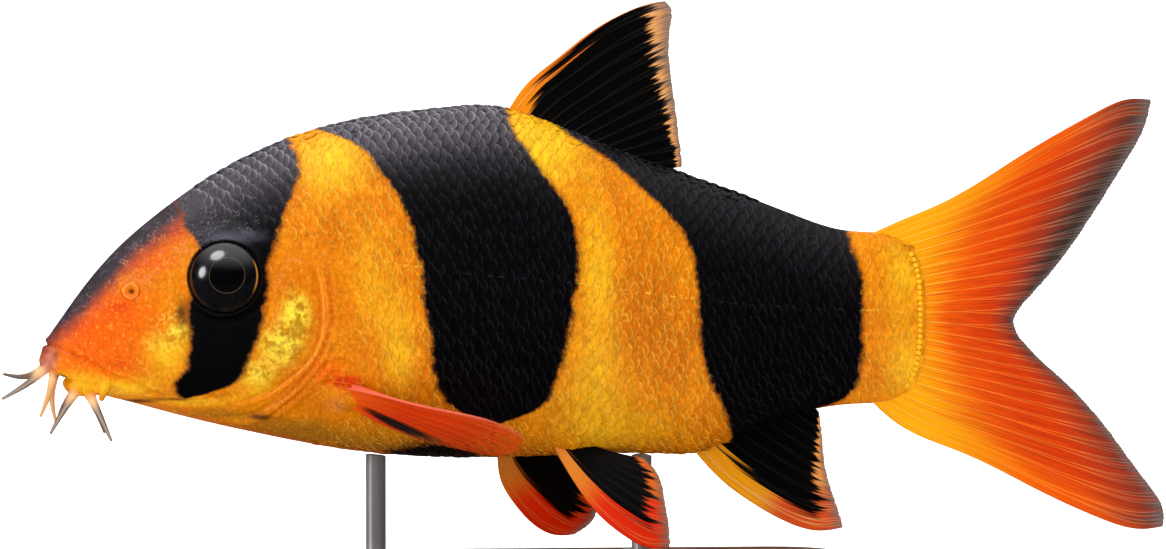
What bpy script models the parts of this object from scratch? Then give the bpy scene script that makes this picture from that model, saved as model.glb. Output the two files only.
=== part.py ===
"""A clown loach at life size, swimming level, on a plain display stand.

The fish faces -X, its left side is at -Y, and the underside of the stand's base lies at Z = 0.
Sizes are in millimetres. Places on the fish are (x, z) or (x, y, z): x is the distance behind the
snout's tip, y the distance to its right, and z the height above the level line through the tail stem.
"""

import math

import bmesh
import bpy
import numpy as np
from mathutils import Matrix, Vector

# Driving dimensions
STANDARD_LENGTH = 133.0  # snout tip to the end of the tail stem
SNOUT_AT = -70.0  # world x of the snout's tip
LEVEL_LINE_HEIGHT = 45.0  # world z of the line that the fish's z counts from
SEAM = 0.3  # gap between touching pieces
SIDES = (("left", -1), ("right", 1))

# The fish's outline, as (x, z) or (x, size)
NOSE_Z = -5.3
BACK = [(0, NOSE_Z), (1.1, -2.4), (2.9, 0.2), (5.9, 4.4), (11.8, 11.2), (17.8, 16.3), (23.8, 20.6), (35.7, 26.7),
        (47.7, 30.1), (59, 31.6), (69, 31.7), (76.1, 29.5), (88.6, 24.4), (101.8, 19.8), (113.9, 15.2), (120, 13.3),
        (124.5, 12.9), (STANDARD_LENGTH, 12.6)]
BELLY = [(0, NOSE_Z), (1.1, -6.9), (2.9, -8.0), (5.9, -9.6), (8.8, -11.1), (13, -12.3), (20.7, -14.4), (32.6, -17.2),
         (44.6, -19.5), (56.6, -20.7), (68, -20.9), (80, -20.5), (92, -20.5), (97.5, -20.4), (104.1, -18.2),
         (111.3, -15.4), (117, -13.9), (121, -13.4), (126, -13.2), (STANDARD_LENGTH, -13.0)]
HALF_WIDTH = [(0, 0), (0.8, 2.0), (2.5, 3.6), (5.5, 5.0), (11.5, 6.9), (17.8, 8.2), (25, 9.5), (32, 10.6), (39, 11.5),
              (47, 12.1), (57, 12.4), (67, 12.2), (77, 11.4), (87, 10.2), (97, 8.6), (107, 6.8), (117, 5.1),
              (125, 3.8), (STANDARD_LENGTH, 1.5)]
WIDEST_Z = [(0, NOSE_Z), (5, -5.0), (15, -4.4), (27, -2.8), (41, -0.5), (57, 1.5), (77, 1.0), (97, 0.2),
            (STANDARD_LENGTH, 0)]
BACK_TAPER = [(0, 1.0), (12, 1.1), (30, 1.08), (50, 0.95), (80, 1.0), (110, 0.95),
              (STANDARD_LENGTH, 0.9)]
BELLY_TAPER = [(0, 0.85), (12, 0.72), (30, 0.78), (50, 0.85), (90, 0.95), (110, 0.95),
               (STANDARD_LENGTH, 0.9)]

# The tail stem ends in a rounded plate, which the tail fin wraps
PLATE_START = 124.2
PLATE_ROUNDNESS = 3.0

# Where the body is divided
HEAD_END = 43.4
SHOULDER_END = 67.0
TRUNK_END = 96.6

# The head
EYE_PLACE = (27.1, 6.7)
EYE_RADIUS = 5.7
EYE_DEPTH = 3.8
EYE_SUNK = 1.5
RIM_RADIUS = 5.75
RIM_THICKNESS = 0.5
NOSTRIL_PLACE = (13.3, 4.6)
NOSTRIL_RADIUS = 0.95
NOSTRIL_RIM = 0.32
GILL_COVER = [(38.6, 9.6), (41.4, 7.6), (42.4, 4.0), (42.5, 0.0), (41.8, -2.8), (40.4, -5.7), (37.4, -9.4),
              (34.3, -12.3), (31.6, -13.6), (30.4, -12.4), (31.9, -8.6), (33.4, -4.0), (34.4, 0.6), (35.4, 5.4)]
GILL_COVER_LIFT = 0.45
GILL_COVER_DEPTH = 1.1
UPPER_LIP = [(12.8, 5.4, -9.7, 0.6), (9.0, 4.4, -8.2, 1.5), (4.9, 3.2, -7.1, 1.8), (2.6, 1.7, -6.6, 1.85),
             (2.0, 0, -6.5, 1.9)]  # the last number is the roll's radius
LOWER_LIP = [(9.2, 4.2, -10.3, 0.7), (7.4, 3.4, -10.4, 1.15), (5.9, 1.9, -10.5, 1.25), (5.4, 0, -10.5, 1.2)]
MOUTH_FLAP = [(9.9, 4.4, -8.9), (9.5, 5.2, -10.4), (9.2, 5.5, -11.8)]
MOUTH_FLAP_RADII = [0.9, 0.6, 0.3]
MOUTH_PLACE = (3.7, -9.1)
MOUTH_RADII = (1.5, 2.2, 1.3)

# Each barbel's root, a place half way and its tip, as (x, y, z), and its radius at the root
BARBELS = {
    "rostral_outer": ([(1.4, -1.6, -6.6), (-1.9, -3.5, -9.2), (-5.7, -5.0, -11.4)],
                      [(1.4, 1.6, -6.4), (-2.2, 3.5, -8.6), (-5.5, 5.0, -8.3)], 0.9),
    "rostral_inner": ([(2.0, -2.2, -7.0), (1.2, -3.6, -10.8), (-0.1, -4.8, -14.1)],
                      [(2.4, 2.2, -7.2), (1.7, 3.8, -12.0), (2.3, 5.0, -15.6)], 0.85),
    "mandibular": ([(5.8, -2.6, -9.8), (3.4, -4.0, -13.2), (1.4, -5.2, -16.6)],
                   [(5.8, 2.6, -9.8), (3.6, 4.2, -13.0), (2.2, 5.6, -16.2)], 0.9),
    "maxillary": ([(6.9, -3.8, -10.2), (8.7, -5.6, -14.0), (10.4, -7.0, -17.6)],
                  [(6.9, 3.8, -10.2), (8.4, 5.7, -13.8), (9.6, 7.3, -17.3)], 1.0),
}
BARBEL_TIP = 0.22

# Fin thicknesses
MEMBRANE = 0.52
RAY_HEIGHT = 0.55
FIN_TIP = 0.4
TAIL_PARTING = 0.006  # half of the gap between the tail's lobes, as a share of the fin's spread

# The stand
BASE_SIZE = (108.0, 60.0, 8.0)
BASE_CORNER = 12.0
BASE_BEVEL = 1.5
ROD_RADIUS = 1.5
ROD_FOOT_RADIUS = 3.6
ROD_FOOT_HEIGHT = 1.8
FRONT_ROD_X = 50.0
REAR_ROD_X = 90.0


def smooth_curve(knots):
    """The natural cubic curve through (place, value) knots, as a function of the place."""
    place, value = np.array(knots, float).T
    gap = np.diff(place)
    system, load = np.eye(len(place)), np.zeros(len(place))
    for i in range(1, len(place) - 1):
        system[i, i - 1:i + 2] = gap[i - 1], 2 * (gap[i - 1] + gap[i]), gap[i]
        load[i] = 6 * ((value[i + 1] - value[i]) / gap[i] - (value[i] - value[i - 1]) / gap[i - 1])
    bend = np.linalg.solve(system, load)

    def at(where):
        where = np.clip(where, place[0], place[-1])
        i = np.clip(np.searchsorted(place, where) - 1, 0, len(gap) - 1)
        a = (place[i + 1] - where) / gap[i]
        b = 1 - a
        curve = (a**3 - a) * bend[i] + (b**3 - b) * bend[i + 1]
        return a * value[i] + b * value[i + 1] + curve * gap[i] ** 2 / 6

    return at


def body_curve(knots):
    """A curve along the body. It runs over the root of x, so that the snout closes round."""
    curve = smooth_curve([(math.sqrt(x / STANDARD_LENGTH), value) for x, value in knots])
    return lambda x: curve(np.sqrt(np.clip(x, 0, STANDARD_LENGTH) / STANDARD_LENGTH))


def path(points):
    """The smooth line through points, as a function of 0 to 1."""
    points = np.array(points, float)
    steps = np.linalg.norm(np.diff(points, axis=0), axis=1)
    along = np.concatenate([[0], np.cumsum(steps)]) / steps.sum()
    parts = [smooth_curve(np.column_stack([along, values])) for values in points.T]
    return lambda t: np.stack([part(t) for part in parts], axis=-1)


back_line, belly_line, half_width, widest_z, back_taper, belly_taper = map(
    body_curve, (BACK, BELLY, HALF_WIDTH, WIDEST_Z, BACK_TAPER, BELLY_TAPER))


def plate_rounding(x):
    """The share of its height that the tail stem keeps at x, which falls to 0 round its end."""
    share = np.clip((x - PLATE_START) / (STANDARD_LENGTH - PLATE_START), 0, 1)
    return (1 - share**PLATE_ROUNDNESS) ** (1 / PLATE_ROUNDNESS)


def section(x):
    """The body's back, belly, half width and widest height at x, with the tapers of its two halves."""
    rounding = plate_rounding(x)
    return (back_line(x) * rounding, belly_line(x) * rounding, half_width(x), widest_z(x),
            back_taper(x), belly_taper(x))


def half_width_at(x, z):
    """The distance from the middle plane to the skin at (x, z)."""
    back, belly, width, middle, above, below = section(x)
    share = np.clip((z - middle) / np.where(z > middle, back - middle, middle - belly), -1, 1)
    return width * np.sqrt(1 - share**2) ** np.where(z > middle, above, below)


def ring(x, count, grow=0.0):
    """The skin's outline at x, from the back round by the right side, moved out by grow."""
    back, belly, width, middle, above, below = section(x)
    angle = np.arange(count) * 2 * math.pi / count
    up, out = np.cos(angle), np.sin(angle)
    y = (width + grow) * np.sign(out) * np.abs(out) ** np.where(up > 0, above, below)
    z = middle + np.where(up > 0, back - middle + grow, middle - belly + grow) * up
    return np.column_stack([np.full(count, x), y, z])


def to_world(points):
    """Places on the fish as world places. Both are in millimetres until the objects are finished."""
    return np.asarray(points, float) + (SNOUT_AT, 0, LEVEL_LINE_HEIGHT)


def make_object(name, points, faces):
    """A mesh object from places on the fish, with its faces pointing out."""
    mesh = bpy.data.meshes.new(name)
    mesh.from_pydata([Vector(p) for p in to_world(points)], [], [list(map(int, f)) for f in faces])
    shape = bmesh.new()
    shape.from_mesh(mesh)
    bmesh.ops.recalc_face_normals(shape, faces=shape.faces)
    shape.to_mesh(mesh)
    shape.free()
    made = bpy.data.objects.new(name, mesh)
    bpy.context.scene.collection.objects.link(made)
    return made


def bridge(rows, columns):
    """The quads between neighbouring closed rings of as many points each."""
    return [(r * columns + c, r * columns + (c + 1) % columns,
             (r + 1) * columns + (c + 1) % columns, (r + 1) * columns + c)
            for r in range(rows - 1) for c in range(columns)]


def closed_rings(name, rings):
    """A closed body through rings of points, with its two ends filled."""
    count = len(rings[0])
    faces = bridge(len(rings), count)
    faces += [range(count), range((len(rings) - 1) * count, len(rings) * count)]
    return make_object(name, np.concatenate(rings), faces)


def body_piece(name, stations, around, grow=0.0):
    """A length of the body through its stations. The ends of a grown one also move out."""
    rings = [ring(x, around, grow) for x in stations]
    if grow:
        rings[0][:, 0] -= grow
        rings[-1][:, 0] += grow
    return closed_rings(name, rings)


def tube(name, points, radii, sides):
    """A closed tube of changing radius along a line of points."""
    points = np.asarray(points, float)
    rings = []
    forward = np.gradient(points, axis=0)
    across = Vector(forward[0]).orthogonal()
    for place, ahead, radius in zip(points, forward, radii):
        ahead = Vector(ahead).normalized()
        across = (across - across.project(ahead)).normalized()
        other = ahead.cross(across)
        angles = np.arange(sides) * 2 * math.pi / sides
        rings.append([place + radius * (math.cos(a) * np.array(across) + math.sin(a) * np.array(other))
                      for a in angles])
    return closed_rings(name, rings)


def turned(name, centre, axis, outline, sides):
    """A closed body turned about an axis, from (radius, height along the axis) points."""
    ahead = Vector(axis).normalized()
    across = ahead.orthogonal().normalized()
    other = ahead.cross(across)
    angles = np.arange(sides) * 2 * math.pi / sides
    rings = [[np.array(centre) + height * np.array(ahead)
              + radius * (math.cos(a) * np.array(across) + math.sin(a) * np.array(other)) for a in angles]
             for radius, height in outline]
    return closed_rings(name, rings)


def torus(name, centre, axis, radius, thickness, sides, around):
    """A closed ring about an axis."""
    ahead = Vector(axis).normalized()
    across = ahead.orthogonal().normalized()
    other = ahead.cross(across)
    rings = []
    for a in np.arange(sides) * 2 * math.pi / sides:
        out = math.cos(a) * np.array(across) + math.sin(a) * np.array(other)
        rings.append([np.array(centre) + out * (radius + thickness * math.cos(b))
                      + np.array(ahead) * thickness * math.sin(b)
                      for b in np.arange(around) * 2 * math.pi / around])
    faces = bridge(sides, around)
    last = (sides - 1) * around
    faces += [(last + c, last + (c + 1) % around, (c + 1) % around, c) for c in range(around)]
    return make_object(name, np.concatenate(rings), faces)


def combine(body, pieces, operation):
    """Joins closed pieces to a body, or cuts them from it, and keeps its largest closed surface."""
    group = bpy.data.collections.new("pieces")
    bpy.context.scene.collection.children.link(group)
    for piece in pieces:
        bpy.context.scene.collection.objects.unlink(piece)
        group.objects.link(piece)
    modifier = body.modifiers.new("combine", "BOOLEAN")
    modifier.operand_type = "COLLECTION"
    modifier.collection = group
    modifier.operation = operation
    modifier.solver = "MANIFOLD"
    graph = bpy.context.evaluated_depsgraph_get()
    body.data = bpy.data.meshes.new_from_object(body.evaluated_get(graph))
    body.modifiers.clear()
    for piece in pieces:
        bpy.data.objects.remove(piece)
    bpy.data.collections.remove(group)
    keep_largest(body)


def keep_largest(body):
    """Drops every closed surface of a body but the one with the most faces."""
    shape = bmesh.new()
    shape.from_mesh(body.data)
    unseen, surfaces = set(shape.faces), []
    while unseen:
        found, todo = set(), [unseen.pop()]
        while todo:
            face = todo.pop()
            found.add(face)
            near = {f for edge in face.edges for f in edge.link_faces} & unseen
            unseen -= near
            todo += near
        surfaces.append(found)
    surfaces.sort(key=len)
    for surface in surfaces[:-1]:
        bmesh.ops.delete(shape, geom=list(surface), context="FACES")
    shape.to_mesh(body.data)
    shape.free()


def skin_place(place, side, out=0.0):
    """The point of the skin at (x, z) on one side and the skin's outward direction there."""
    x, z = place
    step = 0.2
    width = float(half_width_at(x, z))
    slope_x = float(half_width_at(x + step, z) - half_width_at(x - step, z)) / (2 * step)
    slope_z = float(half_width_at(x, z + step) - half_width_at(x, z - step)) / (2 * step)
    normal = np.array([-slope_x, side, -slope_z])
    normal /= np.linalg.norm(normal)
    return np.array([x, side * width, z]) + out * normal, normal


def mirrored(points, side):
    """Places given for the right side, on the side asked for."""
    return [(x, side * y, z) for x, y, z in points]


# The eye is a low dome set in a socket, with a raised rim of skin round it.

def eye_outline(grow):
    """The turned outline of an eye, as (radius, height) from its inner to its outer pole."""
    turns = np.linspace(-0.5, 0.5, 10)[1:-1] * math.pi
    return [((EYE_RADIUS + grow) * math.cos(t), (EYE_DEPTH + grow) * math.sin(t)) for t in turns]


def eye_body(name, side, grow=0.0):
    centre, normal = skin_place(EYE_PLACE, side, -EYE_SUNK)
    return turned(name, centre, normal, eye_outline(grow), 26)


def eye_rim(side):
    centre, normal = skin_place(EYE_PLACE, side, -0.1)
    return torus("rim", centre, normal, RIM_RADIUS, RIM_THICKNESS, 26, 6)


def nostril_rim(side):
    centre, normal = skin_place(NOSTRIL_PLACE, side, 0.05)
    return torus("nostril", centre, normal, NOSTRIL_RADIUS, NOSTRIL_RIM, 12, 6)


def nostril_pit(side):
    centre, normal = skin_place(NOSTRIL_PLACE, side)
    outline = [(0.3, -1.2), (0.5, -0.6), (0.55, 0.8)]
    return turned("pit", centre, normal, outline, 8)


# A gill cover is a curved plate that lies in a recess of the head and stands a little proud of it.

def gill_cover(name, side, grow=0.0):
    """The plate on one side. A grown one is the cutter for its recess."""
    around = 26
    outline = path(GILL_COVER + GILL_COVER[:1])(np.arange(around) / around)
    centre = outline.mean(axis=0)
    reach = np.linalg.norm(outline - centre, axis=1, keepdims=True)
    outline = centre + (outline - centre) * (1 + grow / reach)
    outer_lift = 4.0 if grow else GILL_COVER_LIFT
    rows = []
    levels = [(0.12, outer_lift), (0.6, outer_lift), (0.93, outer_lift), (1.0, outer_lift * 0.5),
              (1.0, -GILL_COVER_DEPTH - grow), (0.6, -GILL_COVER_DEPTH - grow), (0.12, -GILL_COVER_DEPTH - grow)]
    for share, lift in levels:
        flat = centre + (outline - centre) * share
        y = side * (half_width_at(flat[:, 0], flat[:, 1]) + lift)
        rows.append(np.column_stack([flat[:, 0], y, flat[:, 1]]))
    return closed_rings(name, rows)


# The lips are soft rolls round the mouth, which opens down and forward.

def lip(name, points, grow=0.0):
    """A lip from the left corner of the mouth round the front to the right one."""
    rest = [(x, -y, z, radius) for x, y, z, radius in points[-2::-1]]
    along = path(rest[::-1] + points[-1:] + points[-2::-1])(np.linspace(0, 1, 17))
    return tube(name, along[:, :3], along[:, 3] + grow, 10)


def mouth_flap(side):
    """The soft flap at the corner of the mouth."""
    steps = np.linspace(0, 1, 5)
    return tube("flap", path(mirrored(MOUTH_FLAP, side))(steps), np.interp(steps, (0, 0.5, 1), MOUTH_FLAP_RADII), 8)


def mouth_opening():
    x, z = MOUTH_PLACE
    outline = [(math.cos(t), math.sin(t)) for t in np.linspace(-0.5, 0.5, 9)[1:-1] * math.pi]
    made = turned("mouth", (0, 0, 0), (0, 0, 1), outline, 16)
    long_way, wide_way, high_way = MOUTH_RADII
    centre, nought = to_world([(x, 0, z), (0, 0, 0)])
    for vertex in made.data.vertices:
        vertex.co = centre + (np.array(vertex.co) - nought) * (long_way, wide_way, high_way)
    return made


def build_head():
    stations = np.concatenate([[0.05, 0.3, 0.8, 1.6, 2.8, 4.4, 6.4, 8.8], np.linspace(11.5, HEAD_END, 12)])
    head = body_piece("head", stations, 40)
    rolls = [lip("upper", UPPER_LIP), lip("lower", LOWER_LIP)]
    rims = [make(side) for _, side in SIDES for make in (eye_rim, nostril_rim, mouth_flap)]
    combine(head, rolls + rims, "UNION")
    sockets = [eye_body("socket", side, SEAM) for _, side in SIDES]
    pits = [nostril_pit(side) for _, side in SIDES]
    recesses = [gill_cover("recess", side, SEAM) for _, side in SIDES]
    combine(head, sockets + pits + recesses + [mouth_opening()], "DIFFERENCE")


def build_barbel(kind, name, side):
    """A soft feeler that tapers to a point, with its root shaped to the lips and the chin."""
    left, right, root_radius = BARBELS[kind]
    steps = np.linspace(0, 1, 9)
    radii = BARBEL_TIP + (root_radius - BARBEL_TIP) * (1 - steps) ** 1.1
    barbel = tube(f"barbel_{kind}_{name}", path(left if side < 0 else right)(steps), radii, 8)
    snout = body_piece("snout", [0.3, 1.6, 4.4, 8.8, 14, 20], 44, SEAM)
    rolls = [lip("upper", UPPER_LIP, SEAM), lip("lower", LOWER_LIP, SEAM)]
    combine(barbel, [snout] + rolls, "DIFFERENCE")


def build_trunk():
    spans = (("shoulder", HEAD_END + SEAM, SHOULDER_END, 8), ("trunk", SHOULDER_END + SEAM, TRUNK_END, 10))
    for name, start, end, count in spans:
        body_piece(name, np.linspace(start, end, count), 36)
    straight = np.linspace(TRUNK_END + SEAM, PLATE_START, 10)
    rounded = PLATE_START + (STANDARD_LENGTH - PLATE_START) * np.array([0.3, 0.55, 0.75, 0.88, 0.96, 0.992])
    body_piece("tail_stem", np.concatenate([straight, rounded]), 36)


# A fin is a patch between four edges: its root, its margin, its leading and its trailing edge.
# Its rays run from the root to the margin as ridges on both faces of the membrane.

def fin_patch(root, margin, leading, trailing):
    def at(u, v):
        span = (1 - u) * root(v) + u * margin(v)
        lead = leading(u) - (1 - u) * root(0.0) - u * margin(0.0)
        trail = trailing(u) - (1 - u) * root(1.0) - u * margin(1.0)
        return span + (1 - v) * lead + v * trail
    return at


def fin(name, patch, rays, steps, root_thickness, margin_wave=0.0):
    """A closed fin. Each ray has a crest and a flat stretch of membrane behind it."""
    v, ridge = [], []
    for ray in range(rays):
        v += [(ray + part) / rays for part in (0.0, 0.3, 0.7)]
        ridge += [1.0, 0.0, 0.0]
    v, ridge = np.array(v + [1.0]), np.array(ridge + [1.0])
    u = np.linspace(0, 1, steps + 1) ** 0.9
    across, along = len(v), len(u)
    middle = np.array([[patch(a, b) for b in v] for a in u])
    middle[-1] += (middle[-1] - middle[-2]) * (margin_wave * (ridge[:, None] - 0.5))
    by_u, by_v = np.gradient(middle, axis=0), np.gradient(middle, axis=1)
    normal = np.cross(by_u, by_v)
    normal /= np.linalg.norm(normal, axis=2, keepdims=True)
    height = u[:, None]
    thick = MEMBRANE + (root_thickness - MEMBRANE) * np.clip(1 - height / 0.3, 0, 1) ** 1.5
    thick = thick + RAY_HEIGHT * ridge[None, :] * (1 - 0.75 * height)
    thick[-1] = FIN_TIP
    half = 0.5 * thick[:, :, None] * normal
    points = np.concatenate([(middle + half).reshape(-1, 3), (middle - half).reshape(-1, 3)])
    count = along * across
    faces = []
    for r in range(along - 1):
        for c in range(across - 1):
            a, b, d, e = r * across + c, r * across + c + 1, (r + 1) * across + c, (r + 1) * across + c + 1
            faces += [(a, b, e), (a, e, d), (count + b, count + a, count + e), (count + e, count + a, count + d)]
    border = ([c for c in range(across)] + [r * across + across - 1 for r in range(1, along)]
              + [(along - 1) * across + c for c in range(across - 2, -1, -1)]
              + [r * across for r in range(along - 2, 0, -1)])
    for i, here in enumerate(border):
        there = border[(i + 1) % len(border)]
        faces.append((here, there, count + there))
        faces.append((here, count + there, count + here))
    return make_object(name, points, faces)


def flat(points):
    """Places (x, z) of the middle plane as (x, y, z)."""
    return [(x, 0, z) for x, z in points]


def line_under(line, start, end, sunk):
    """The root of a fin that stands on the back or the belly line, sunk in the flesh."""
    return path([(x, 0, float(line(x)) - sunk) for x in np.linspace(start, end, 6)])


def seat(made, start, end):
    """Cuts a fin's root to the shape of the flesh between two stations, with a seam's gap."""
    stations = np.linspace(start, min(end, PLATE_START), 8)
    if end > PLATE_START:
        rounded = np.array([0.3, 0.55, 0.75, 0.88, 0.96, 0.992])
        stations = np.concatenate([stations, PLATE_START + (STANDARD_LENGTH - PLATE_START) * rounded])
    combine(made, [body_piece("flesh", stations, 36, SEAM)], "DIFFERENCE")


def build_dorsal_fin():
    root = line_under(back_line, 69.6, 89.8, 1.0)
    leading = path([root(0.0), (72.7, 0, 35.1), (77, 0, 38.7), (81.5, 0, 42.3), (87.5, 0, 45.8), (91.5, 0, 47.2),
                    (93.6, 0, 47.5)])
    margin = path(flat([(93.6, 47.5), (94.5, 46.2), (94.4, 44), (94.2, 38.6), (94.9, 33), (95.6, 27.8), (96.2, 23)]))
    trailing = path([root(1.0), (93, 0, 22.9), (96.2, 0, 23)])
    made = fin("dorsal_fin", fin_patch(root, margin, leading, trailing), 11, 5, 1.8, 0.08)
    seat(made, 67.0, 99.0)


def build_anal_fin():
    root = line_under(belly_line, 97.8, 112.2, -1.0)
    leading = path([root(0.0), (102, 0, -24.5), (107, 0, -28.2), (112.3, 0, -31.1), (117, 0, -32.3),
                    (120.6, 0, -31.8)])
    margin = path(flat([(120.6, -31.8), (119.9, -29.4), (118.6, -25.6), (117.7, -22), (117.4, -18.8), (117.2, -15)]))
    trailing = path([root(1.0), (115, 0, -14.5), (117.2, 0, -15)])
    made = fin("anal_fin", fin_patch(root, margin, leading, trailing), 8, 5, 1.6, 0.08)
    seat(made, 95.0, 119.0)


def build_tail_fin():
    """The two lobes of the tail fin, parted along the ray that runs to the fork."""
    turns = np.linspace(0.5, -0.5, 15) * math.pi
    reach, high = STANDARD_LENGTH - PLATE_START - 0.8, 12.2
    bend = 2 / PLATE_ROUNDNESS
    root = path([(PLATE_START + reach * abs(math.cos(t)) ** bend, 0,
                  high * math.copysign(abs(math.sin(t)) ** bend, t)) for t in turns])
    leading = path([root(0.0), (129, 0, 14.4), (135.2, 0, 17), (147.2, 0, 24.1), (159.4, 0, 31), (163.8, 0, 32.7),
                    (167.3, 0, 32.6)])
    trailing = path([root(1.0), (129, 0, -16.4), (138.2, 0, -20.5), (150.4, 0, -26.5), (159.6, 0, -30.7),
                     (166.5, 0, -32.4), (169.3, 0, -32)])
    margin = path(flat([(167.3, 32.6), (166.6, 29.5), (162.8, 22.3), (158.2, 15), (153.1, 7.8), (148.4, 2.4),
                        (146.5, -0.6), (148.6, -4.7), (154.6, -10.3), (161.1, -17.6), (166.6, -25), (169.4, -30),
                        (169.3, -32)]))
    whole = fin_patch(root, margin, leading, trailing)
    for name, start, end in (("tail_fin_upper", 0.0, 0.5 - TAIL_PARTING), ("tail_fin_lower", 0.5 + TAIL_PARTING, 1.0)):
        made = fin(name, lambda u, v: whole(u, start + (end - start) * v), 9, 7, 1.6, 0.06)
        seat(made, 112.0, STANDARD_LENGTH)


def build_pectoral_fin(name, side):
    root = path(mirrored([(44.6, 10.0, -9.2), (46.0, 8.8, -12.6)], side))
    leading = path([root(0.0)] + mirrored([(48.8, 13.6, -10.2), (52.6, 16, -11.2), (61.2, 20, -12.9), (67, 22, -14.4),
                                           (70.3, 23, -16)], side))
    margin = path(mirrored([(70.3, 23, -16), (70.2, 22, -17.6), (68.6, 20, -19.1), (63, 16, -18.9), (56, 13.2, -17.4),
                            (51.4, 11.6, -15.7)], side))
    trailing = path([root(1.0)] + mirrored([(48.4, 10.4, -14.2), (51.4, 11.6, -15.7)], side))
    made = fin(f"pectoral_fin_{name}", fin_patch(root, margin, leading, trailing), 10, 5, 1.5, 0.06)
    seat(made, HEAD_END - 3, 53.0)


def build_pelvic_fin(name, side):
    """The left pelvic fin is swept back, and the right one hangs lower and stands further forward."""
    if side < 0:
        root = [(76.2, 3.4, -18.8), (81.2, 3.0, -18.7)]
        leading = [(80.2, 6, -24.7), (83.5, 7.5, -29.2), (87, 8.3, -32.2), (90.5, 8.9, -33.6), (93, 9.2, -33.6)]
        margin = [(93, 9.2, -33.6), (93.4, 9.3, -31), (93.1, 9, -27.4), (92.3, 8.6, -23.8), (90.3, 8, -21.6)]
        trailing = [(85.6, 6.2, -21.2), (90.3, 8, -21.6)]
    else:
        root = [(68.6, 3.4, -18.9), (73.4, 3.0, -18.9)]
        leading = [(69.2, 6, -24.8), (71.4, 7.5, -28.5), (75, 9, -32.2), (78, 10, -33.5), (80.8, 10, -33.4)]
        margin = [(80.8, 10, -33.4), (83.2, 9.6, -31.6), (84.2, 9.3, -29.6), (82.9, 8.7, -27), (80.2, 7.6, -23.6)]
        trailing = [(77, 5.4, -21.8), (80.2, 7.6, -23.6)]
    root_line = path(mirrored(root, side))
    leading_line = path([root_line(0.0)] + mirrored(leading, side))
    trailing_line = path([root_line(1.0)] + mirrored(trailing, side))
    patch = fin_patch(root_line, path(mirrored(margin, side)), leading_line, trailing_line)
    made = fin(f"pelvic_fin_{name}", patch, 8, 5, 1.5, 0.08)
    seat(made, SHOULDER_END - 2, 88.0)


def build_base():
    """A flat wooden base with rounded corners and a bevelled edge."""
    long_way, wide_way, high_way = BASE_SIZE
    corner = BASE_CORNER
    shape = bmesh.new()
    outline = []
    for quarter, (sx, sy) in enumerate(((1, 1), (-1, 1), (-1, -1), (1, -1))):
        for step in range(7):
            a = (quarter + step / 6) * math.pi / 2
            outline.append(shape.verts.new((sx * (long_way / 2 - corner) + corner * math.cos(a),
                                            sy * (wide_way / 2 - corner) + corner * math.sin(a), 0)))
    floor = shape.faces.new(outline)
    raised = bmesh.ops.extrude_face_region(shape, geom=[floor])["geom"]
    bmesh.ops.translate(shape, verts=[v for v in raised if isinstance(v, bmesh.types.BMVert)],
                        vec=(0, 0, high_way))
    bmesh.ops.recalc_face_normals(shape, faces=shape.faces)
    mesh = bpy.data.meshes.new("stand_base")
    shape.to_mesh(mesh)
    shape.free()
    base = bpy.data.objects.new("stand_base", mesh)
    bpy.context.scene.collection.objects.link(base)
    bevel = base.modifiers.new("edge", "BEVEL")
    bevel.width, bevel.segments, bevel.limit_method = BASE_BEVEL / 1000, 2, "ANGLE"


def build_rod(name, x):
    """A rod with a turned foot, from the base up to the belly."""
    foot = BASE_SIZE[2] + SEAM - LEVEL_LINE_HEIGHT
    outline = [(ROD_FOOT_RADIUS, 0), (ROD_FOOT_RADIUS, ROD_FOOT_HEIGHT * 0.6), (ROD_FOOT_RADIUS - 0.6, ROD_FOOT_HEIGHT),
               (ROD_RADIUS, ROD_FOOT_HEIGHT + 0.2), (ROD_RADIUS, float(belly_line(x)) - foot + 3.0)]
    rod = turned(name, (x, 0, foot), (0, 0, 1), outline, 20)
    combine(rod, [body_piece("flesh", np.linspace(x - 8, x + 8, 5), 72, SEAM)], "DIFFERENCE")


MATERIALS = {
    "skin_orange": ((0.82, 0.33, 0.01), 0.38, 0.0),
    "skin_black": ((0.012, 0.011, 0.012), 0.38, 0.0),
    "fin_red": ((0.78, 0.10, 0.01), 0.35, 0.0),
    "fin_black": ((0.015, 0.01, 0.01), 0.35, 0.0),
    "barbel": ((0.62, 0.36, 0.20), 0.4, 0.0),
    "eye": ((0.004, 0.004, 0.006), 0.06, 0.0),
    "stand_wood": ((0.10, 0.045, 0.022), 0.4, 0.0),
    "stand_steel": ((0.62, 0.62, 0.62), 0.25, 1.0),
}
MATERIAL_OF = (("head", "skin_orange"), ("gill", "skin_orange"), ("shoulder", "skin_black"), ("trunk", "skin_orange"),
               ("tail_stem", "skin_black"), ("tail_fin", "fin_red"), ("pectoral", "fin_red"), ("dorsal", "fin_black"),
               ("anal", "fin_black"), ("pelvic", "fin_black"), ("barbel", "barbel"), ("eye", "eye"),
               ("stand_base", "stand_wood"), ("stand_rod", "stand_steel"))


def finish_object(made):
    """Puts an object in metres, shades it smooth and gives it the material of its kind."""
    made.data.transform(Matrix.Scale(0.001, 4))
    wanted = next(material for start, material in MATERIAL_OF if made.name.startswith(start))
    material = bpy.data.materials.get(wanted)
    if material is None:
        colour, roughness, metallic = MATERIALS[wanted]
        material = bpy.data.materials.new(wanted)
        material.use_nodes = True
        shader = material.node_tree.nodes["Principled BSDF"]
        shader.inputs["Base Color"].default_value = (*colour, 1)
        shader.inputs["Roughness"].default_value = roughness
        shader.inputs["Metallic"].default_value = metallic
    made.data.materials.clear()
    made.data.materials.append(material)
    made.data.shade_smooth()
    made.data.set_sharp_from_angle(angle=math.radians(35))


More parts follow.
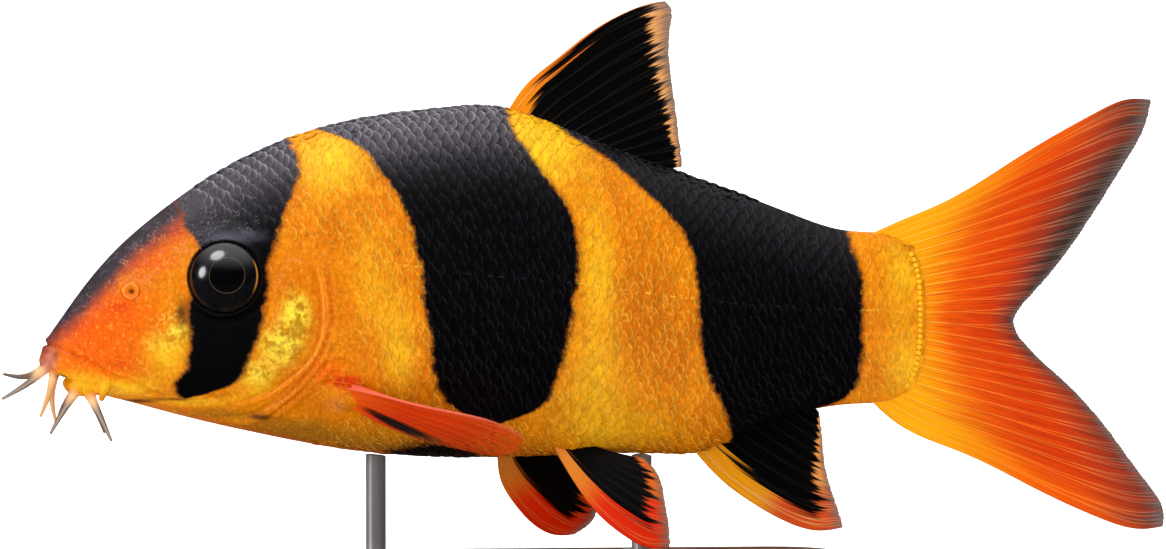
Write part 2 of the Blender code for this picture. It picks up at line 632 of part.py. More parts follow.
def main():
    for old in list(bpy.data.objects):
        bpy.data.objects.remove(old)
    build_head()
    build_trunk()
    build_dorsal_fin()
    build_anal_fin()
    build_tail_fin()
    for name, side in SIDES:
        eye_body(f"eye_{name}", side)
        gill_cover(f"gill_cover_{name}", side)
        build_pectoral_fin(name, side)
        build_pelvic_fin(name, side)
        for kind in BARBELS:
            build_barbel(kind, name, side)
    build_base()
    build_rod("stand_rod_front", FRONT_ROD_X)
    build_rod("stand_rod_rear", REAR_ROD_X)
    for made in bpy.context.scene.objects:
        finish_object(made)


main()
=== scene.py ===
"""The clown loach display model, dressed for its picture.

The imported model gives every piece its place. Sizes are in millimetres, and places on the fish are
(x, z) or (x, y, z): x is the distance behind the snout's tip, y the distance to its right, and z the
height above the level line through the tail stem. The pieces themselves are made in metres.
"""
import math

import bmesh
import bpy
import numpy as np
from mathutils import Matrix, Vector
from mathutils.bvhtree import BVHTree


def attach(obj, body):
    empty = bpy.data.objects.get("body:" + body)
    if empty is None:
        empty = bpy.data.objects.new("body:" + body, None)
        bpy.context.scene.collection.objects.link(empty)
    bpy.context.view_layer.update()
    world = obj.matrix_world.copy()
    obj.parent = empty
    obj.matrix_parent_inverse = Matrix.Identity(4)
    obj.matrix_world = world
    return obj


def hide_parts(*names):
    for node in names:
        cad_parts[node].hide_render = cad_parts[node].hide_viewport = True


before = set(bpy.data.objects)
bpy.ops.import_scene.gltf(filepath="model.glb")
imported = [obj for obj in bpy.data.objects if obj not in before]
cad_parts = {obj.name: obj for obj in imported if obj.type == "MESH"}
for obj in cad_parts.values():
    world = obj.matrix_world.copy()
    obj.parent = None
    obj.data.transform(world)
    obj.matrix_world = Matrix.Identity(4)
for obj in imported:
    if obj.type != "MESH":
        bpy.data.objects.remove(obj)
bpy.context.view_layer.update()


# The stand's base is a flat block of oiled walnut with a bevelled edge. It is sawn along the grain, so
# that the figure runs the way the fish swims. The frame's own solid stays and is given its timber here.

WALNUT_DARK = (52, 31, 20)
WALNUT_LIGHT = (122, 80, 50)
WALNUT_PORE = (30, 18, 12)
WALNUT_RINGS = 7.0  # how often the figure repeats
WALNUT_RELIEF = 0.00012
GRAIN_STRETCH = (5.0, 70.0, 70.0)
PORE_STRETCH = (60.0, 1400.0, 1400.0)


def paint(red, green, blue):
    """A colour given as 0 to 255 values, in the linear values that shaders take."""
    parts = [part / 255 for part in (red, green, blue)]
    return tuple(p / 12.92 if p <= 0.04045 else ((p + 0.055) / 1.055) ** 2.4 for p in parts) + (1.0,)


def add(tree, kind, inputs=None, **settings):
    """A shader node, with its settings made and its inputs set or linked."""
    node = tree.nodes.new("ShaderNode" + kind)
    for name, value in settings.items():
        setattr(node, name, value)
    for name, value in (inputs or {}).items():
        if isinstance(value, bpy.types.NodeSocket):
            tree.links.new(value, node.inputs[name])
        else:
            node.inputs[name].default_value = value
    return node


def mix(tree, share, first, second, how="MIX"):
    return add(tree, "Mix", {0: share, 6: first, 7: second}, data_type="RGBA", blend_type=how).outputs[2]


def ramp(tree, value, low, high, start=0.0, end=1.0):
    """A smooth step of a value from low to high."""
    return add(tree, "MapRange", {"Value": value, "From Min": low, "From Max": high, "To Min": start,
                                  "To Max": end}, interpolation_type="SMOOTHSTEP").outputs["Result"]


def calc(tree, operation, first, second=0.0):
    return add(tree, "Math", {0: first, 1: second}, operation=operation).outputs[0]


def times(tree, first, second):
    return calc(tree, "MULTIPLY", first, second)


def apart(tree, value, place):
    """How far a value is from a place, to either side of it."""
    return calc(tree, "ABSOLUTE", calc(tree, "SUBTRACT", value, place))


def lay(tree, colour, mask, tint, amount=1.0):
    """Lays a tint over a colour, as far as a mask says and an amount allows."""
    if amount < 1.0:
        mask = times(tree, mask, amount)
    return mix(tree, mask, colour, paint(*tint))


def stretched(tree, amounts):
    """The place on the object, stretched by an amount along each axis."""
    place = add(tree, "TexCoord").outputs["Object"]
    return add(tree, "VectorMath", {0: place, 1: amounts}, operation="MULTIPLY").outputs[0]


def noise(tree, where, scale, detail=2.0, roughness=0.5):
    return add(tree, "TexNoise", {"Vector": where, "Scale": scale, "Detail": detail,
                                  "Roughness": roughness}).outputs["Fac"]


def new_group(name, inputs, outputs):
    """An empty shader node group, with its inner input and output sockets."""
    tree = bpy.data.node_groups.new(name, "ShaderNodeTree")
    for direction, sockets in (("INPUT", inputs), ("OUTPUT", outputs)):
        for title, kind in sockets.items():
            tree.interface.new_socket(title, in_out=direction, socket_type="NodeSocket" + kind)
    return tree, tree.nodes.new("NodeGroupInput").outputs, tree.nodes.new("NodeGroupOutput").inputs


def new_finish(name, constants):
    """A material whose Principled shader has its plain values set on its own sockets."""
    material = bpy.data.materials.new(name)
    material.use_nodes = True
    shader = material.node_tree.nodes["Principled BSDF"]
    for socket, value in constants.items():
        shader.inputs[socket].default_value = value
    return material, material.node_tree, shader


def dress(tree, shader, colour=None, roughness=None, height=None, lift=0.0001, strength=1.0):
    """Links a shader's colour, roughness and relief. The lift is the relief's height in metres."""
    if colour is not None:
        tree.links.new(colour, shader.inputs["Base Color"])
    if roughness is not None:
        tree.links.new(roughness, shader.inputs["Roughness"])
    if height is not None:
        bump = add(tree, "Bump", {"Height": height, "Distance": lift, "Strength": strength})
        tree.links.new(bump.outputs["Normal"], shader.inputs["Normal"])


def walnut():
    material, tree, shader = new_finish("walnut", {"Specular IOR Level": 0.4})
    grain = noise(tree, stretched(tree, GRAIN_STRETCH), 4.0, 6.0, 0.6)
    rings = calc(tree, "FRACT", times(tree, grain, WALNUT_RINGS))
    figure = ramp(tree, apart(tree, rings, 0.5), 0.0, 0.5)
    pores = ramp(tree, noise(tree, stretched(tree, PORE_STRETCH), 1.0, 3.0), 0.56, 0.68)
    colour = mix(tree, figure, paint(*WALNUT_DARK), paint(*WALNUT_LIGHT))
    colour = lay(tree, colour, pores, WALNUT_PORE, 0.6)
    relief = calc(tree, "SUBTRACT", figure, pores)
    dress(tree, shader, colour, ramp(tree, pores, 0, 1, 0.36, 0.6), relief, WALNUT_RELIEF, 0.5)
    return material


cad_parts["stand_base"].material_slots[0].material = walnut()


# Two steel rods stand in turned feet on the base and hold the fish by its belly. They are ground and
# polished lengthways. The frame's own solids stay and are given their metal here.

STEEL_DARK = (170, 171, 174)
STEEL_LIGHT = (214, 215, 217)
STEEL_RELIEF = 0.00002
ROD_STRETCH = (2600.0, 2600.0, 60.0)


def ground_steel():
    material, tree, shader = new_finish("ground_steel", {"Metallic": 0.8})
    scratches = noise(tree, stretched(tree, ROD_STRETCH), 1.0, 3.0)
    colour = mix(tree, scratches, paint(*STEEL_DARK), paint(*STEEL_LIGHT))
    dress(tree, shader, colour, ramp(tree, scratches, 0.3, 0.7, 0.38, 0.5), scratches, STEEL_RELIEF, 0.4)
    return material


steel = ground_steel()
for rod in ("stand_rod_front", "stand_rod_rear"):
    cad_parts[rod].material_slots[0].material = steel


# The skin is one soft sheet over the head, the trunk, the lips and the barbels. It is lofted through the
# same outline as the solids, a coat's depth inside them, then joined with the lips, the rims of the eyes
# and the nostrils and the swellings at the fins' roots, and pressed into its folds.

STANDARD_LENGTH = 133.0
SNOUT_AT = -70.0
LEVEL_LINE_HEIGHT = 45.0
COAT_DEPTH = 0.14
SIDES = (("left", -1), ("right", 1))
NOSE_Z = -5.3
BACK = [(0, NOSE_Z), (1.1, -2.4), (2.9, 0.2), (5.9, 4.4), (11.8, 11.2), (17.8, 16.3), (23.8, 20.6),
        (35.7, 26.7), (47.7, 30.1), (59, 31.6), (69, 31.7), (76.1, 29.5), (88.6, 24.4), (101.8, 19.8),
        (113.9, 15.2), (120, 13.3), (124.5, 12.9), (STANDARD_LENGTH, 12.6)]
BELLY = [(0, NOSE_Z), (1.1, -6.9), (2.9, -8.0), (5.9, -9.6), (8.8, -11.1), (13, -12.3), (20.7, -14.4),
         (32.6, -17.2), (44.6, -19.5), (56.6, -20.7), (68, -20.9), (80, -20.5), (92, -20.5),
         (97.5, -20.4), (104.1, -18.2), (111.3, -15.4), (117, -13.9), (121, -13.4), (126, -13.2),
         (STANDARD_LENGTH, -13.0)]
HALF_WIDTH = [(0, 0), (0.8, 2.0), (2.5, 3.6), (5.5, 5.0), (11.5, 6.9), (17.8, 8.2), (25, 9.5), (32, 10.6),
              (39, 11.5), (47, 12.1), (57, 12.4), (67, 12.2), (77, 11.4), (87, 10.2), (97, 8.6),
              (107, 6.8), (117, 5.1), (125, 3.8), (STANDARD_LENGTH, 1.5)]
WIDEST_Z = [(0, NOSE_Z), (5, -5.0), (15, -4.4), (27, -2.8), (41, -0.5), (57, 1.5), (77, 1.0), (97, 0.2),
            (STANDARD_LENGTH, 0)]
BACK_TAPER = [(0, 1.0), (12, 1.1), (30, 1.08), (50, 0.95), (80, 1.0), (110, 0.95), (STANDARD_LENGTH, 0.9)]
BELLY_TAPER = [(0, 0.85), (12, 0.72), (30, 0.78), (50, 0.85), (90, 0.95), (110, 0.95), (STANDARD_LENGTH, 0.9)]
PLATE_START = 124.2  # where the bony plate at the end of the tail stem starts to round off
PLATE_ROUNDNESS = 3.0

EYE_PLACE = (27.1, 6.7)
EYE_RADIUS = 5.7
EYE_DEPTH = 3.8
EYE_SUNK = 1.5
SOCKET_SLACK = 0.1
RIM_RADIUS = 5.75
RIM_THICKNESS = 0.34
NOSTRIL_PLACE = (13.3, 4.6)
NOSTRIL_RADIUS = 1.05
NOSTRIL_RIM = 0.42
NOSTRIL_PIT = [(0.2, -1.2), (0.34, -0.6), (0.42, 0.8)]  # radius and height, from the floor up
UPPER_LIP = [(12.8, 5.4, -9.7, 0.6), (9.0, 4.4, -8.2, 1.5), (4.9, 3.2, -7.1, 1.8), (2.2, 1.8, -6.2, 1.85),
             (1.5, 0, -6.0, 1.9)]  # the last number is the roll's radius
LOWER_LIP = [(9.2, 4.2, -10.3, 0.7), (6.8, 3.4, -10.2, 1.2), (4.7, 1.9, -9.8, 1.25), (4.2, 0, -9.4, 1.1)]
MOUTH_FLAP = [(10.0, 5.1, -8.4), (9.6, 5.6, -9.7), (8.8, 5.9, -11.8)]
MOUTH_FLAP_RADII = [0.85, 0.75, 0.38]
MOUTH_PLACE = (2.9, -8.3)
MOUTH_RADII = (1.3, 2.6, 0.4)

# Each pair of barbels: the left one's line, the right one's line and the radius of their roots
BARBELS = {
    "rostral_outer": ([(1.4, -1.6, -6.6), (-1.9, -3.5, -9.2), (-5.7, -5.0, -11.4)],
                      [(1.4, 1.6, -6.4), (-2.2, 3.5, -8.6), (-5.5, 5.0, -8.3)], 0.9),
    "rostral_inner": ([(2.0, -2.2, -7.0), (1.2, -3.6, -10.8), (-0.1, -4.8, -14.1)],
                      [(2.4, 2.2, -7.2), (1.7, 3.8, -12.0), (2.3, 5.0, -15.6)], 0.85),
    "mandibular": ([(5.8, -2.6, -9.8), (3.4, -4.0, -13.2), (1.4, -5.2, -16.6)],
                   [(5.8, 2.6, -9.8), (3.6, 4.2, -13.0), (2.2, 5.6, -16.2)], 0.9),
    "maxillary": ([(6.9, -3.8, -10.2), (8.7, -5.6, -14.0), (10.4, -7.0, -17.6)],
                  [(6.9, 3.8, -10.2), (8.4, 5.7, -13.8), (9.6, 7.3, -17.3)], 1.0),
}
BARBEL_TIP = 0.2
BARBEL_TAPER = 1.1
BARBEL_RINGS = 150  # how close the faint rings are
BARBEL_RING_DEPTH = 0.025
ROOT_POINTS = 26  # how much of a barbel's line has the skin softened round it
ROOT_REACH = 0.55
ROOT_PASSES = 5
FIRST_RAY = [(42.6, -8.5), (43.8, -8.6), (45.2, -9.0), (46.4, -9.6)]
FIRST_RAY_RADII = (0.2, 0.55, 0.7)
PECTORAL_ROOT = (45.6, 9.4, -10.6)
PELVIC_ROOT = (3.4, -18.4)
PELVIC_ROOT_X = {"left": 78.6, "right": 71.0}
PECTORAL_SWELLING = (2.6, 1.6)  # how far it reaches along the flank and out of it
PELVIC_SWELLING = (2.6, 1.3)
SKIN_GRAIN = 0.26  # the side of the skin's faces
SMOOTHING = 4

# The gill cover's bony plate, and each fold as its line, half width, depth and the height of its lip
GILL_PLATE = [(36.6, 9.6), (39.6, 8.8), (40.3, 4.0), (40.4, 0.0), (39.5, -3.1), (36.4, -6.5), (31.8, -9.7),
              (30.9, -8.4), (32.0, -5.0), (33.0, -1.5), (34.0, 2.5), (34.8, 6.5)]
GILL_PLATE_LIFT = 0.5
GILL_EDGE = [(40.9, 9.8), (42.2, 7.0), (42.7, 4.0), (42.8, 0.0), (42.0, -2.8), (40.6, -5.7), (37.5, -9.4),
             (34.3, -12.2), (30.6, -14.2)]
GILL_SEAM = [(40.3, 8.0), (40.9, 5.0), (41.2, 2.0), (41.1, -1.0), (40.3, -3.8), (38.4, -6.6),
             (35.0, -9.4), (31.6, -11.2), (28.0, -12.0)]
FOLDS = [
    ([(-2.6, -3.3), (0.3, -3.4), (2.6, -3.9), (5.3, -5.1), (8.0, -6.4), (10.3, -7.9), (12.9, -8.7),
      (15.9, -10.2), (20.4, -11.5)], 0.28, 0.5, 0.16),
    (GILL_EDGE + [(26.0, -13.9)], 0.4, 0.5, 0.3),
    (GILL_SEAM, 0.28, 0.36, 0.2),
    ([(43.6, -3.0), (41.9, -6.2), (39.3, -9.4), (36.3, -12.2), (33.1, -14.6)], 0.35, 0.28, 0.2),
    ([(35.2, 5.6), (34.3, 0.9), (33.1, -2.5), (32.6, -5.0), (31.4, -6.9)], 0.34, 0.42, 0.16),
    ([(41.0, -7.6), (42.0, -6.2), (43.9, -5.6), (45.8, -6.3), (46.9, -7.7), (47.3, -9.2)], 0.28, 0.28,
     0.2),
    ([(42.1, -8.9), (42.6, -7.9), (43.5, -7.4), (45.1, -7.6), (46.2, -8.5), (47.0, -9.4)], 0.26, 0.3,
     0.1),
    ([(41.8, -9.6), (42.6, -8.7), (44.2, -8.3), (45.6, -8.8), (46.6, -9.7)], 0.34, 0.6, 0.24),
    ([(11.2, -11.3), (15.1, -11.5), (19.6, -12.0), (24.0, -12.5)], 0.3, 0.3, 0.12),
    ([(35.0, 13.4), (37.9, 11.9), (42.6, 10.0)], 0.22, -0.12, 0.0),
    ([(3.2, -6.1), (4.6, -7.6), (4.4, -9.2)], 0.3, 0.2, 0.1),
    ([(7.4, -7.6), (8.2, -9.0), (7.9, -10.4)], 0.3, 0.2, 0.1),
]
EYE_GROOVE = (6.5, 0.35, 0.08)  # radius, half width and depth of the groove round the eye's rim
EYE_LID = (7.3, 0.9, 0.4)  # radius, half width and height of the soft fold over the eye


def smooth_curve(knots):
    """The natural cubic curve through (place, value) knots, as a function of the place."""
    place, value = np.array(sorted(knots), float).T
    gap = np.diff(place)
    system, load = np.eye(len(place)), np.zeros(len(place))
    for i in range(1, len(place) - 1):
        system[i, i - 1:i + 2] = gap[i - 1], 2 * (gap[i - 1] + gap[i]), gap[i]
        load[i] = 6 * ((value[i + 1] - value[i]) / gap[i] - (value[i] - value[i - 1]) / gap[i - 1])
    bend = np.linalg.solve(system, load)

    def at(where):
        where = np.clip(where, place[0], place[-1])
        i = np.clip(np.searchsorted(place, where) - 1, 0, len(gap) - 1)
        a = (place[i + 1] - where) / gap[i]
        b = 1 - a
        curve = (a**3 - a) * bend[i] + (b**3 - b) * bend[i + 1]
        return a * value[i] + b * value[i + 1] + curve * gap[i] ** 2 / 6

    return at


def body_curve(knots):
    """A curve along the body. It runs over the root of x, so that the snout closes round."""
    curve = smooth_curve([(math.sqrt(x / STANDARD_LENGTH), value) for x, value in knots])
    return lambda x: curve(np.sqrt(np.clip(x, 0, STANDARD_LENGTH) / STANDARD_LENGTH))


def path(points):
    """The smooth line through points, as a function of 0 to 1."""
    points = np.array(points, float)
    steps = np.linalg.norm(np.diff(points, axis=0), axis=1)
    along = np.concatenate([[0], np.cumsum(steps)]) / steps.sum()
    parts = [smooth_curve(np.column_stack([along, values]).tolist()) for values in points.T]
    return lambda t: np.stack([part(t) for part in parts], axis=-1)


back_line, belly_line, half_width, widest_z, back_taper, belly_taper = map(
    body_curve, (BACK, BELLY, HALF_WIDTH, WIDEST_Z, BACK_TAPER, BELLY_TAPER))


def section(x):
    """The body's back, belly, half width and widest height at x, with the tapers of its two halves."""
    share = np.clip((x - PLATE_START) / (STANDARD_LENGTH - PLATE_START), 0, 1)
    rounding = (1 - share**PLATE_ROUNDNESS) ** (1 / PLATE_ROUNDNESS)
    return (back_line(x) * rounding, belly_line(x) * rounding, half_width(x), widest_z(x),
            back_taper(x), belly_taper(x))


def half_width_at(x, z):
    """The distance from the middle plane to the skin at (x, z)."""
    back, belly, width, middle, above, below = section(x)
    share = np.clip((z - middle) / np.where(z > middle, back - middle, middle - belly), -1, 1)
    return width * np.sqrt(1 - share**2) ** np.where(z > middle, above, below)


def ring(x, angle, grow=0.0):
    """The skin's outline at x, for angles from the back round by the right side, moved out by grow."""
    back, belly, width, middle, above, below = section(x)
    up, out = np.cos(angle), np.sin(angle)
    y = (width + grow) * np.sign(out) * np.abs(out) ** np.where(up > 0, above, below)
    z = middle + np.where(up > 0, back - middle + grow, middle - belly + grow) * up
    return np.stack([np.broadcast_to(x, np.shape(y)), y, z], axis=-1)


def skin_place(place, side, out=0.0):
    """The point of the skin at (x, z) on one side and the skin's outward direction there."""
    x, z = place
    step = 0.2
    width = float(half_width_at(x, z))
    slope_x = float(half_width_at(x + step, z) - half_width_at(x - step, z)) / (2 * step)
    slope_z = float(half_width_at(x, z + step) - half_width_at(x, z - step)) / (2 * step)
    normal = np.array([-slope_x, side, -slope_z])
    normal /= np.linalg.norm(normal)
    return np.array([x, side * width, z]) + out * normal, normal


def new_shape(name, points, faces):
    """A mesh object from places on the fish, in millimetres, with its faces pointing out."""
    mesh = bpy.data.meshes.new(name)
    world = np.asarray(points, float) + (SNOUT_AT, 0, LEVEL_LINE_HEIGHT)
    mesh.from_pydata(world.tolist(), [], [list(map(int, f)) for f in faces])
    shape = bmesh.new()
    shape.from_mesh(mesh)
    bmesh.ops.recalc_face_normals(shape, faces=shape.faces)
    shape.to_mesh(mesh)
    shape.free()
    made = bpy.data.objects.new(name, mesh)
    bpy.context.scene.collection.objects.link(made)
    return made


def bridge(rows, columns):
    """The quads between neighbouring closed rings of as many points each."""
    return [(r * columns + c, r * columns + (c + 1) % columns,
             (r + 1) * columns + (c + 1) % columns, (r + 1) * columns + c)
            for r in range(rows - 1) for c in range(columns)]


def closed_rings(name, rings):
    """A closed body through rings of points, with its two ends filled."""
    count = len(rings[0])
    faces = bridge(len(rings), count)
    faces += [range(count), range((len(rings) - 1) * count, len(rings) * count)]
    return new_shape(name, np.concatenate(rings), faces)


def across_of(ahead):
    """Two directions square to a third."""
    ahead = Vector(ahead).normalized()
    across = ahead.orthogonal().normalized()
    return np.array(across), np.array(ahead.cross(across)), np.array(ahead)


def tube(name, points, radii, sides):
    """A closed tube of changing radius along a line of points."""
    points = np.asarray(points, float)
    forward = np.gradient(points, axis=0)
    across = Vector(forward[0]).orthogonal()
    angles = np.arange(sides) * 2 * math.pi / sides
    rings = []
    for place, ahead, radius in zip(points, forward, radii):
        ahead = Vector(ahead).normalized()
        across = (across - across.project(ahead)).normalized()
        other = np.array(ahead.cross(across))
        circle = np.cos(angles)[:, None] * np.array(across) + np.sin(angles)[:, None] * other
        rings.append(place + radius * circle)
    return closed_rings(name, rings)


def turned_rings(centre, axis, outline, sides):
    """The rings of a body turned about an axis, from (radius, height along the axis) points."""
    across, other, ahead = across_of(axis)
    angles = np.arange(sides)[:, None] * 2 * math.pi / sides
    return [np.array(centre) + height * ahead + radius * (np.cos(angles) * across + np.sin(angles) * other)
            for radius, height in outline]


def round_bead(name, centre, axis, radii, sides=24):
    """A closed bead with a radius square to an axis and one along it."""
    turns = np.linspace(-0.5, 0.5, 14)[1:-1] * math.pi
    outline = [(radii[0] * math.cos(t), radii[1] * math.sin(t)) for t in turns]
    return closed_rings(name, turned_rings(centre, axis, outline, sides))


def torus(name, centre, axis, radius, thickness, sides=72, around=12):
    """A closed ring about an axis."""
    across, other, ahead = across_of(axis)
    turns = np.arange(around) * 2 * math.pi / around
    rings = []
    for a in np.arange(sides) * 2 * math.pi / sides:
        out = math.cos(a) * across + math.sin(a) * other
        rings.append([np.array(centre) + out * (radius + thickness * math.cos(b))
                      + ahead * thickness * math.sin(b) for b in turns])
    faces = bridge(sides, around)
    last = (sides - 1) * around
    faces += [(last + c, last + (c + 1) % around, (c + 1) % around, c) for c in range(around)]
    return new_shape(name, np.concatenate(rings), faces)


def apply_modifiers(made):
    graph = bpy.context.evaluated_depsgraph_get()
    made.data = bpy.data.meshes.new_from_object(made.evaluated_get(graph))
    made.modifiers.clear()


def combine(body, pieces, operation):
    """Joins closed shapes to a body, or cuts them from it."""
    group = bpy.data.collections.new("pieces")
    bpy.context.scene.collection.children.link(group)
    for piece in pieces:
        bpy.context.scene.collection.objects.unlink(piece)
        group.objects.link(piece)
    modifier = body.modifiers.new("combine", "BOOLEAN")
    modifier.operand_type = "COLLECTION"
    modifier.collection = group
    modifier.operation = operation
    modifier.solver = "MANIFOLD"
    apply_modifiers(body)
    for piece in pieces:
        bpy.data.objects.remove(piece)
    bpy.data.collections.remove(group)


def lip(name, points):
    """A lip from the left corner of the mouth round the front to the right one."""
    rest = [(x, -y, z, radius) for x, y, z, radius in points[-2::-1]]
    along = path(rest[::-1] + points[-1:] + points[-2::-1])(np.linspace(0, 1, 60))
    return tube(name, along[:, :3], along[:, 3] - COAT_DEPTH, 24)


def mouth_flap(side):
    steps = np.linspace(0, 1, 16)
    points = path([(x, side * y, z) for x, y, z in MOUTH_FLAP])(steps)
    return tube("flap", points, np.interp(steps, (0, 0.5, 1), MOUTH_FLAP_RADII), 16)


def swellings(name, side):
    """The first ray of a pectoral fin and the muscles at the paired fins' roots, half sunk in the flank."""
    steps = np.arange(14)
    ray = path([skin_place(place, side, 0.05)[0] for place in FIRST_RAY])(np.linspace(0, 1, len(steps)))
    pectoral = np.array(PECTORAL_ROOT) * (1, side, 1)
    pelvic = (PELVIC_ROOT_X[name], side * PELVIC_ROOT[0], PELVIC_ROOT[1])
    return [tube("first_ray", ray, np.interp(steps, (0, 5, 13), FIRST_RAY_RADII), 12),
            round_bead("pectoral_root", pectoral, (0.2, side, -0.3), PECTORAL_SWELLING),
            round_bead("pelvic_root", pelvic, (0.1, side * 0.6, -1), PELVIC_SWELLING)]


def eye_outline(grow):
    turns = np.linspace(-0.5, 0.5, 22)[1:-1] * math.pi
    return [((EYE_RADIUS + grow) * math.cos(t), (EYE_DEPTH + grow) * math.sin(t)) for t in turns]


def raw_skin():
    """The closed body with its lips, rims and swellings joined and its sockets, pits and mouth cut."""
    # The outlines lie closest together at the snout and at the rounded end of the stem
    front = np.linspace(0.2, 6.6, 42) ** 2
    straight = np.arange(44.5, PLATE_START, 0.8)
    rounded = PLATE_START + (STANDARD_LENGTH - PLATE_START) * np.linspace(0.02, 1, 24)[:-1] ** 0.6
    angles = np.arange(168) * 2 * math.pi / 168
    rings = [ring(x, angles, -COAT_DEPTH) for x in np.concatenate([front, straight, rounded])]
    body = closed_rings("skin", rings)
    joined = [lip("upper", UPPER_LIP), lip("lower", LOWER_LIP)]
    cut = []
    for name, side in SIDES:
        eye, eye_axis = skin_place(EYE_PLACE, side)
        nostril, nostril_axis = skin_place(NOSTRIL_PLACE, side)
        joined += [torus("rim", eye - 0.1 * eye_axis, eye_axis, RIM_RADIUS, RIM_THICKNESS),
                   torus("nostril", nostril, nostril_axis, NOSTRIL_RADIUS, NOSTRIL_RIM, 36),
                   mouth_flap(side)]
        joined += swellings(name, side)
        socket = turned_rings(eye - EYE_SUNK * eye_axis, eye_axis, eye_outline(-SOCKET_SLACK), 64)
        pit = turned_rings(nostril, nostril_axis, NOSTRIL_PIT, 16)
        cut += [closed_rings("socket", socket), closed_rings("pit", pit)]
    mouth = round_bead("mouth", (0, 0, 0), (0, 0, 1), (1, 1), 32)
    centre = Vector((SNOUT_AT, 0, LEVEL_LINE_HEIGHT))
    opening = centre + Vector((MOUTH_PLACE[0], 0, MOUTH_PLACE[1]))
    for vertex in mouth.data.vertices:
        vertex.co = opening + (vertex.co - centre) * Vector(MOUTH_RADII)
    combine(body, joined, "UNION")
    combine(body, cut + [mouth], "DIFFERENCE")
    remesh = body.modifiers.new("remesh", "REMESH")
    remesh.mode, remesh.voxel_size = "VOXEL", SKIN_GRAIN
    smooth = body.modifiers.new("smooth", "SMOOTH")
    smooth.factor, smooth.iterations = 0.5, SMOOTHING
    apply_modifiers(body)
    return body


def places_of(made):
    """A shape's points as places on the fish."""
    points = np.empty(len(made.data.vertices) * 3, np.float32)
    made.data.vertices.foreach_get("co", points)
    return points.reshape(-1, 3).astype(float) - (SNOUT_AT, 0, LEVEL_LINE_HEIGHT)


def from_line(line, spots):
    """How far spots lie from a line of points, to which side of its run, and how far past its ends."""
    gaps = spots[:, None, :] - line[None, :, :]
    near = np.argmin((gaps**2).sum(axis=2), axis=1)
    ahead = np.gradient(line, axis=0)
    ahead /= np.linalg.norm(ahead, axis=1, keepdims=True)
    gap = gaps[np.arange(len(spots)), near]
    side = ahead[near, 0] * gap[:, 1] - ahead[near, 1] * gap[:, 0]
    past = np.abs((gap * ahead[near]).sum(axis=1)) * ((near == 0) | (near == len(line) - 1))
    return side, past, near / (len(line) - 1)


def press_folds(made):
    """Presses the folds into the skin and lifts the gill covers' plates."""
    spots = places_of(made)
    normals = np.empty(len(spots) * 3, np.float32)
    made.data.vertices.foreach_get("normal", normals)
    normals = normals.reshape(-1, 3)
    lift = np.zeros(len(spots))
    for points, width, depth, lip_height in FOLDS:
        line = path(points)(np.linspace(0, 1, 90))
        reach = 6 * width
        low, high = line.min(axis=0) - reach, line.max(axis=0) + reach
        near = np.flatnonzero((spots[:, 0] > low[0]) & (spots[:, 0] < high[0]) & (spots[:, 2] > low[1])
                              & (spots[:, 2] < high[1]) & ((np.abs(spots[:, 1]) > 0.5) | (spots[:, 0] < 3)))
        side, past, along = from_line(line, spots[near][:, [0, 2]])
        fade = np.clip(np.minimum(along, 1 - along) / 0.12, 0, 1) * np.exp(-(past / width) ** 2)
        groove = -depth * np.exp(-(side / width) ** 2)
        lip_of_fold = lip_height * np.exp(-((side - 1.9 * width) / (1.5 * width)) ** 2)
        lift[near] += fade * (groove + lip_of_fold)
    edge = path(GILL_PLATE + GILL_PLATE[:1])(np.linspace(0, 1, 120))
    near = np.flatnonzero((spots[:, 0] > 28) & (spots[:, 0] < 44) & (spots[:, 2] > -12) & (spots[:, 2] < 12))
    side, _, _ = from_line(edge, spots[near][:, [0, 2]])
    inside = np.clip(-side, -2, 4)
    plate = GILL_PLATE_LIFT * np.clip((inside + 0.2) / 0.7, 0, 1) ** 1.5
    front = np.clip((spots[near][:, 0] - 31 - 0.1 * spots[near][:, 2]) / 4.5, 0, 1)
    lift[near] += plate * front
    radius, width, depth = EYE_GROOVE
    lid_radius, lid_width, lid_height = EYE_LID
    for _, side in SIDES:
        centre, _ = skin_place(EYE_PLACE, side)
        away = np.linalg.norm(spots - centre, axis=1)
        upper = np.clip((spots[:, 2] - centre[2]) / np.maximum(away, 0.1) - 0.15, 0, 1)
        lift -= depth * np.exp(-((away - radius) / width) ** 2)
        lift += lid_height * upper * np.exp(-((away - lid_radius) / lid_width) ** 2)
    moved = spots + normals * lift[:, None] + (SNOUT_AT, 0, LEVEL_LINE_HEIGHT)
    made.data.vertices.foreach_set("co", moved.astype(np.float32).ravel())
    made.data.update()


def barbel_line(kind, side):
    """A barbel's middle line and its radii from root to tip. It tapers and is faintly ringed."""
    left, right, root_radius = BARBELS[kind]
    steps = np.linspace(0, 1, 64)
    radii = BARBEL_TIP + (root_radius - BARBEL_TIP - COAT_DEPTH / 2) * (1 - steps) ** BARBEL_TAPER
    radii *= 1 + BARBEL_RING_DEPTH * np.sin(steps * BARBEL_RINGS) * (1 - steps)
    return path(left if side < 0 else right)(steps), radii


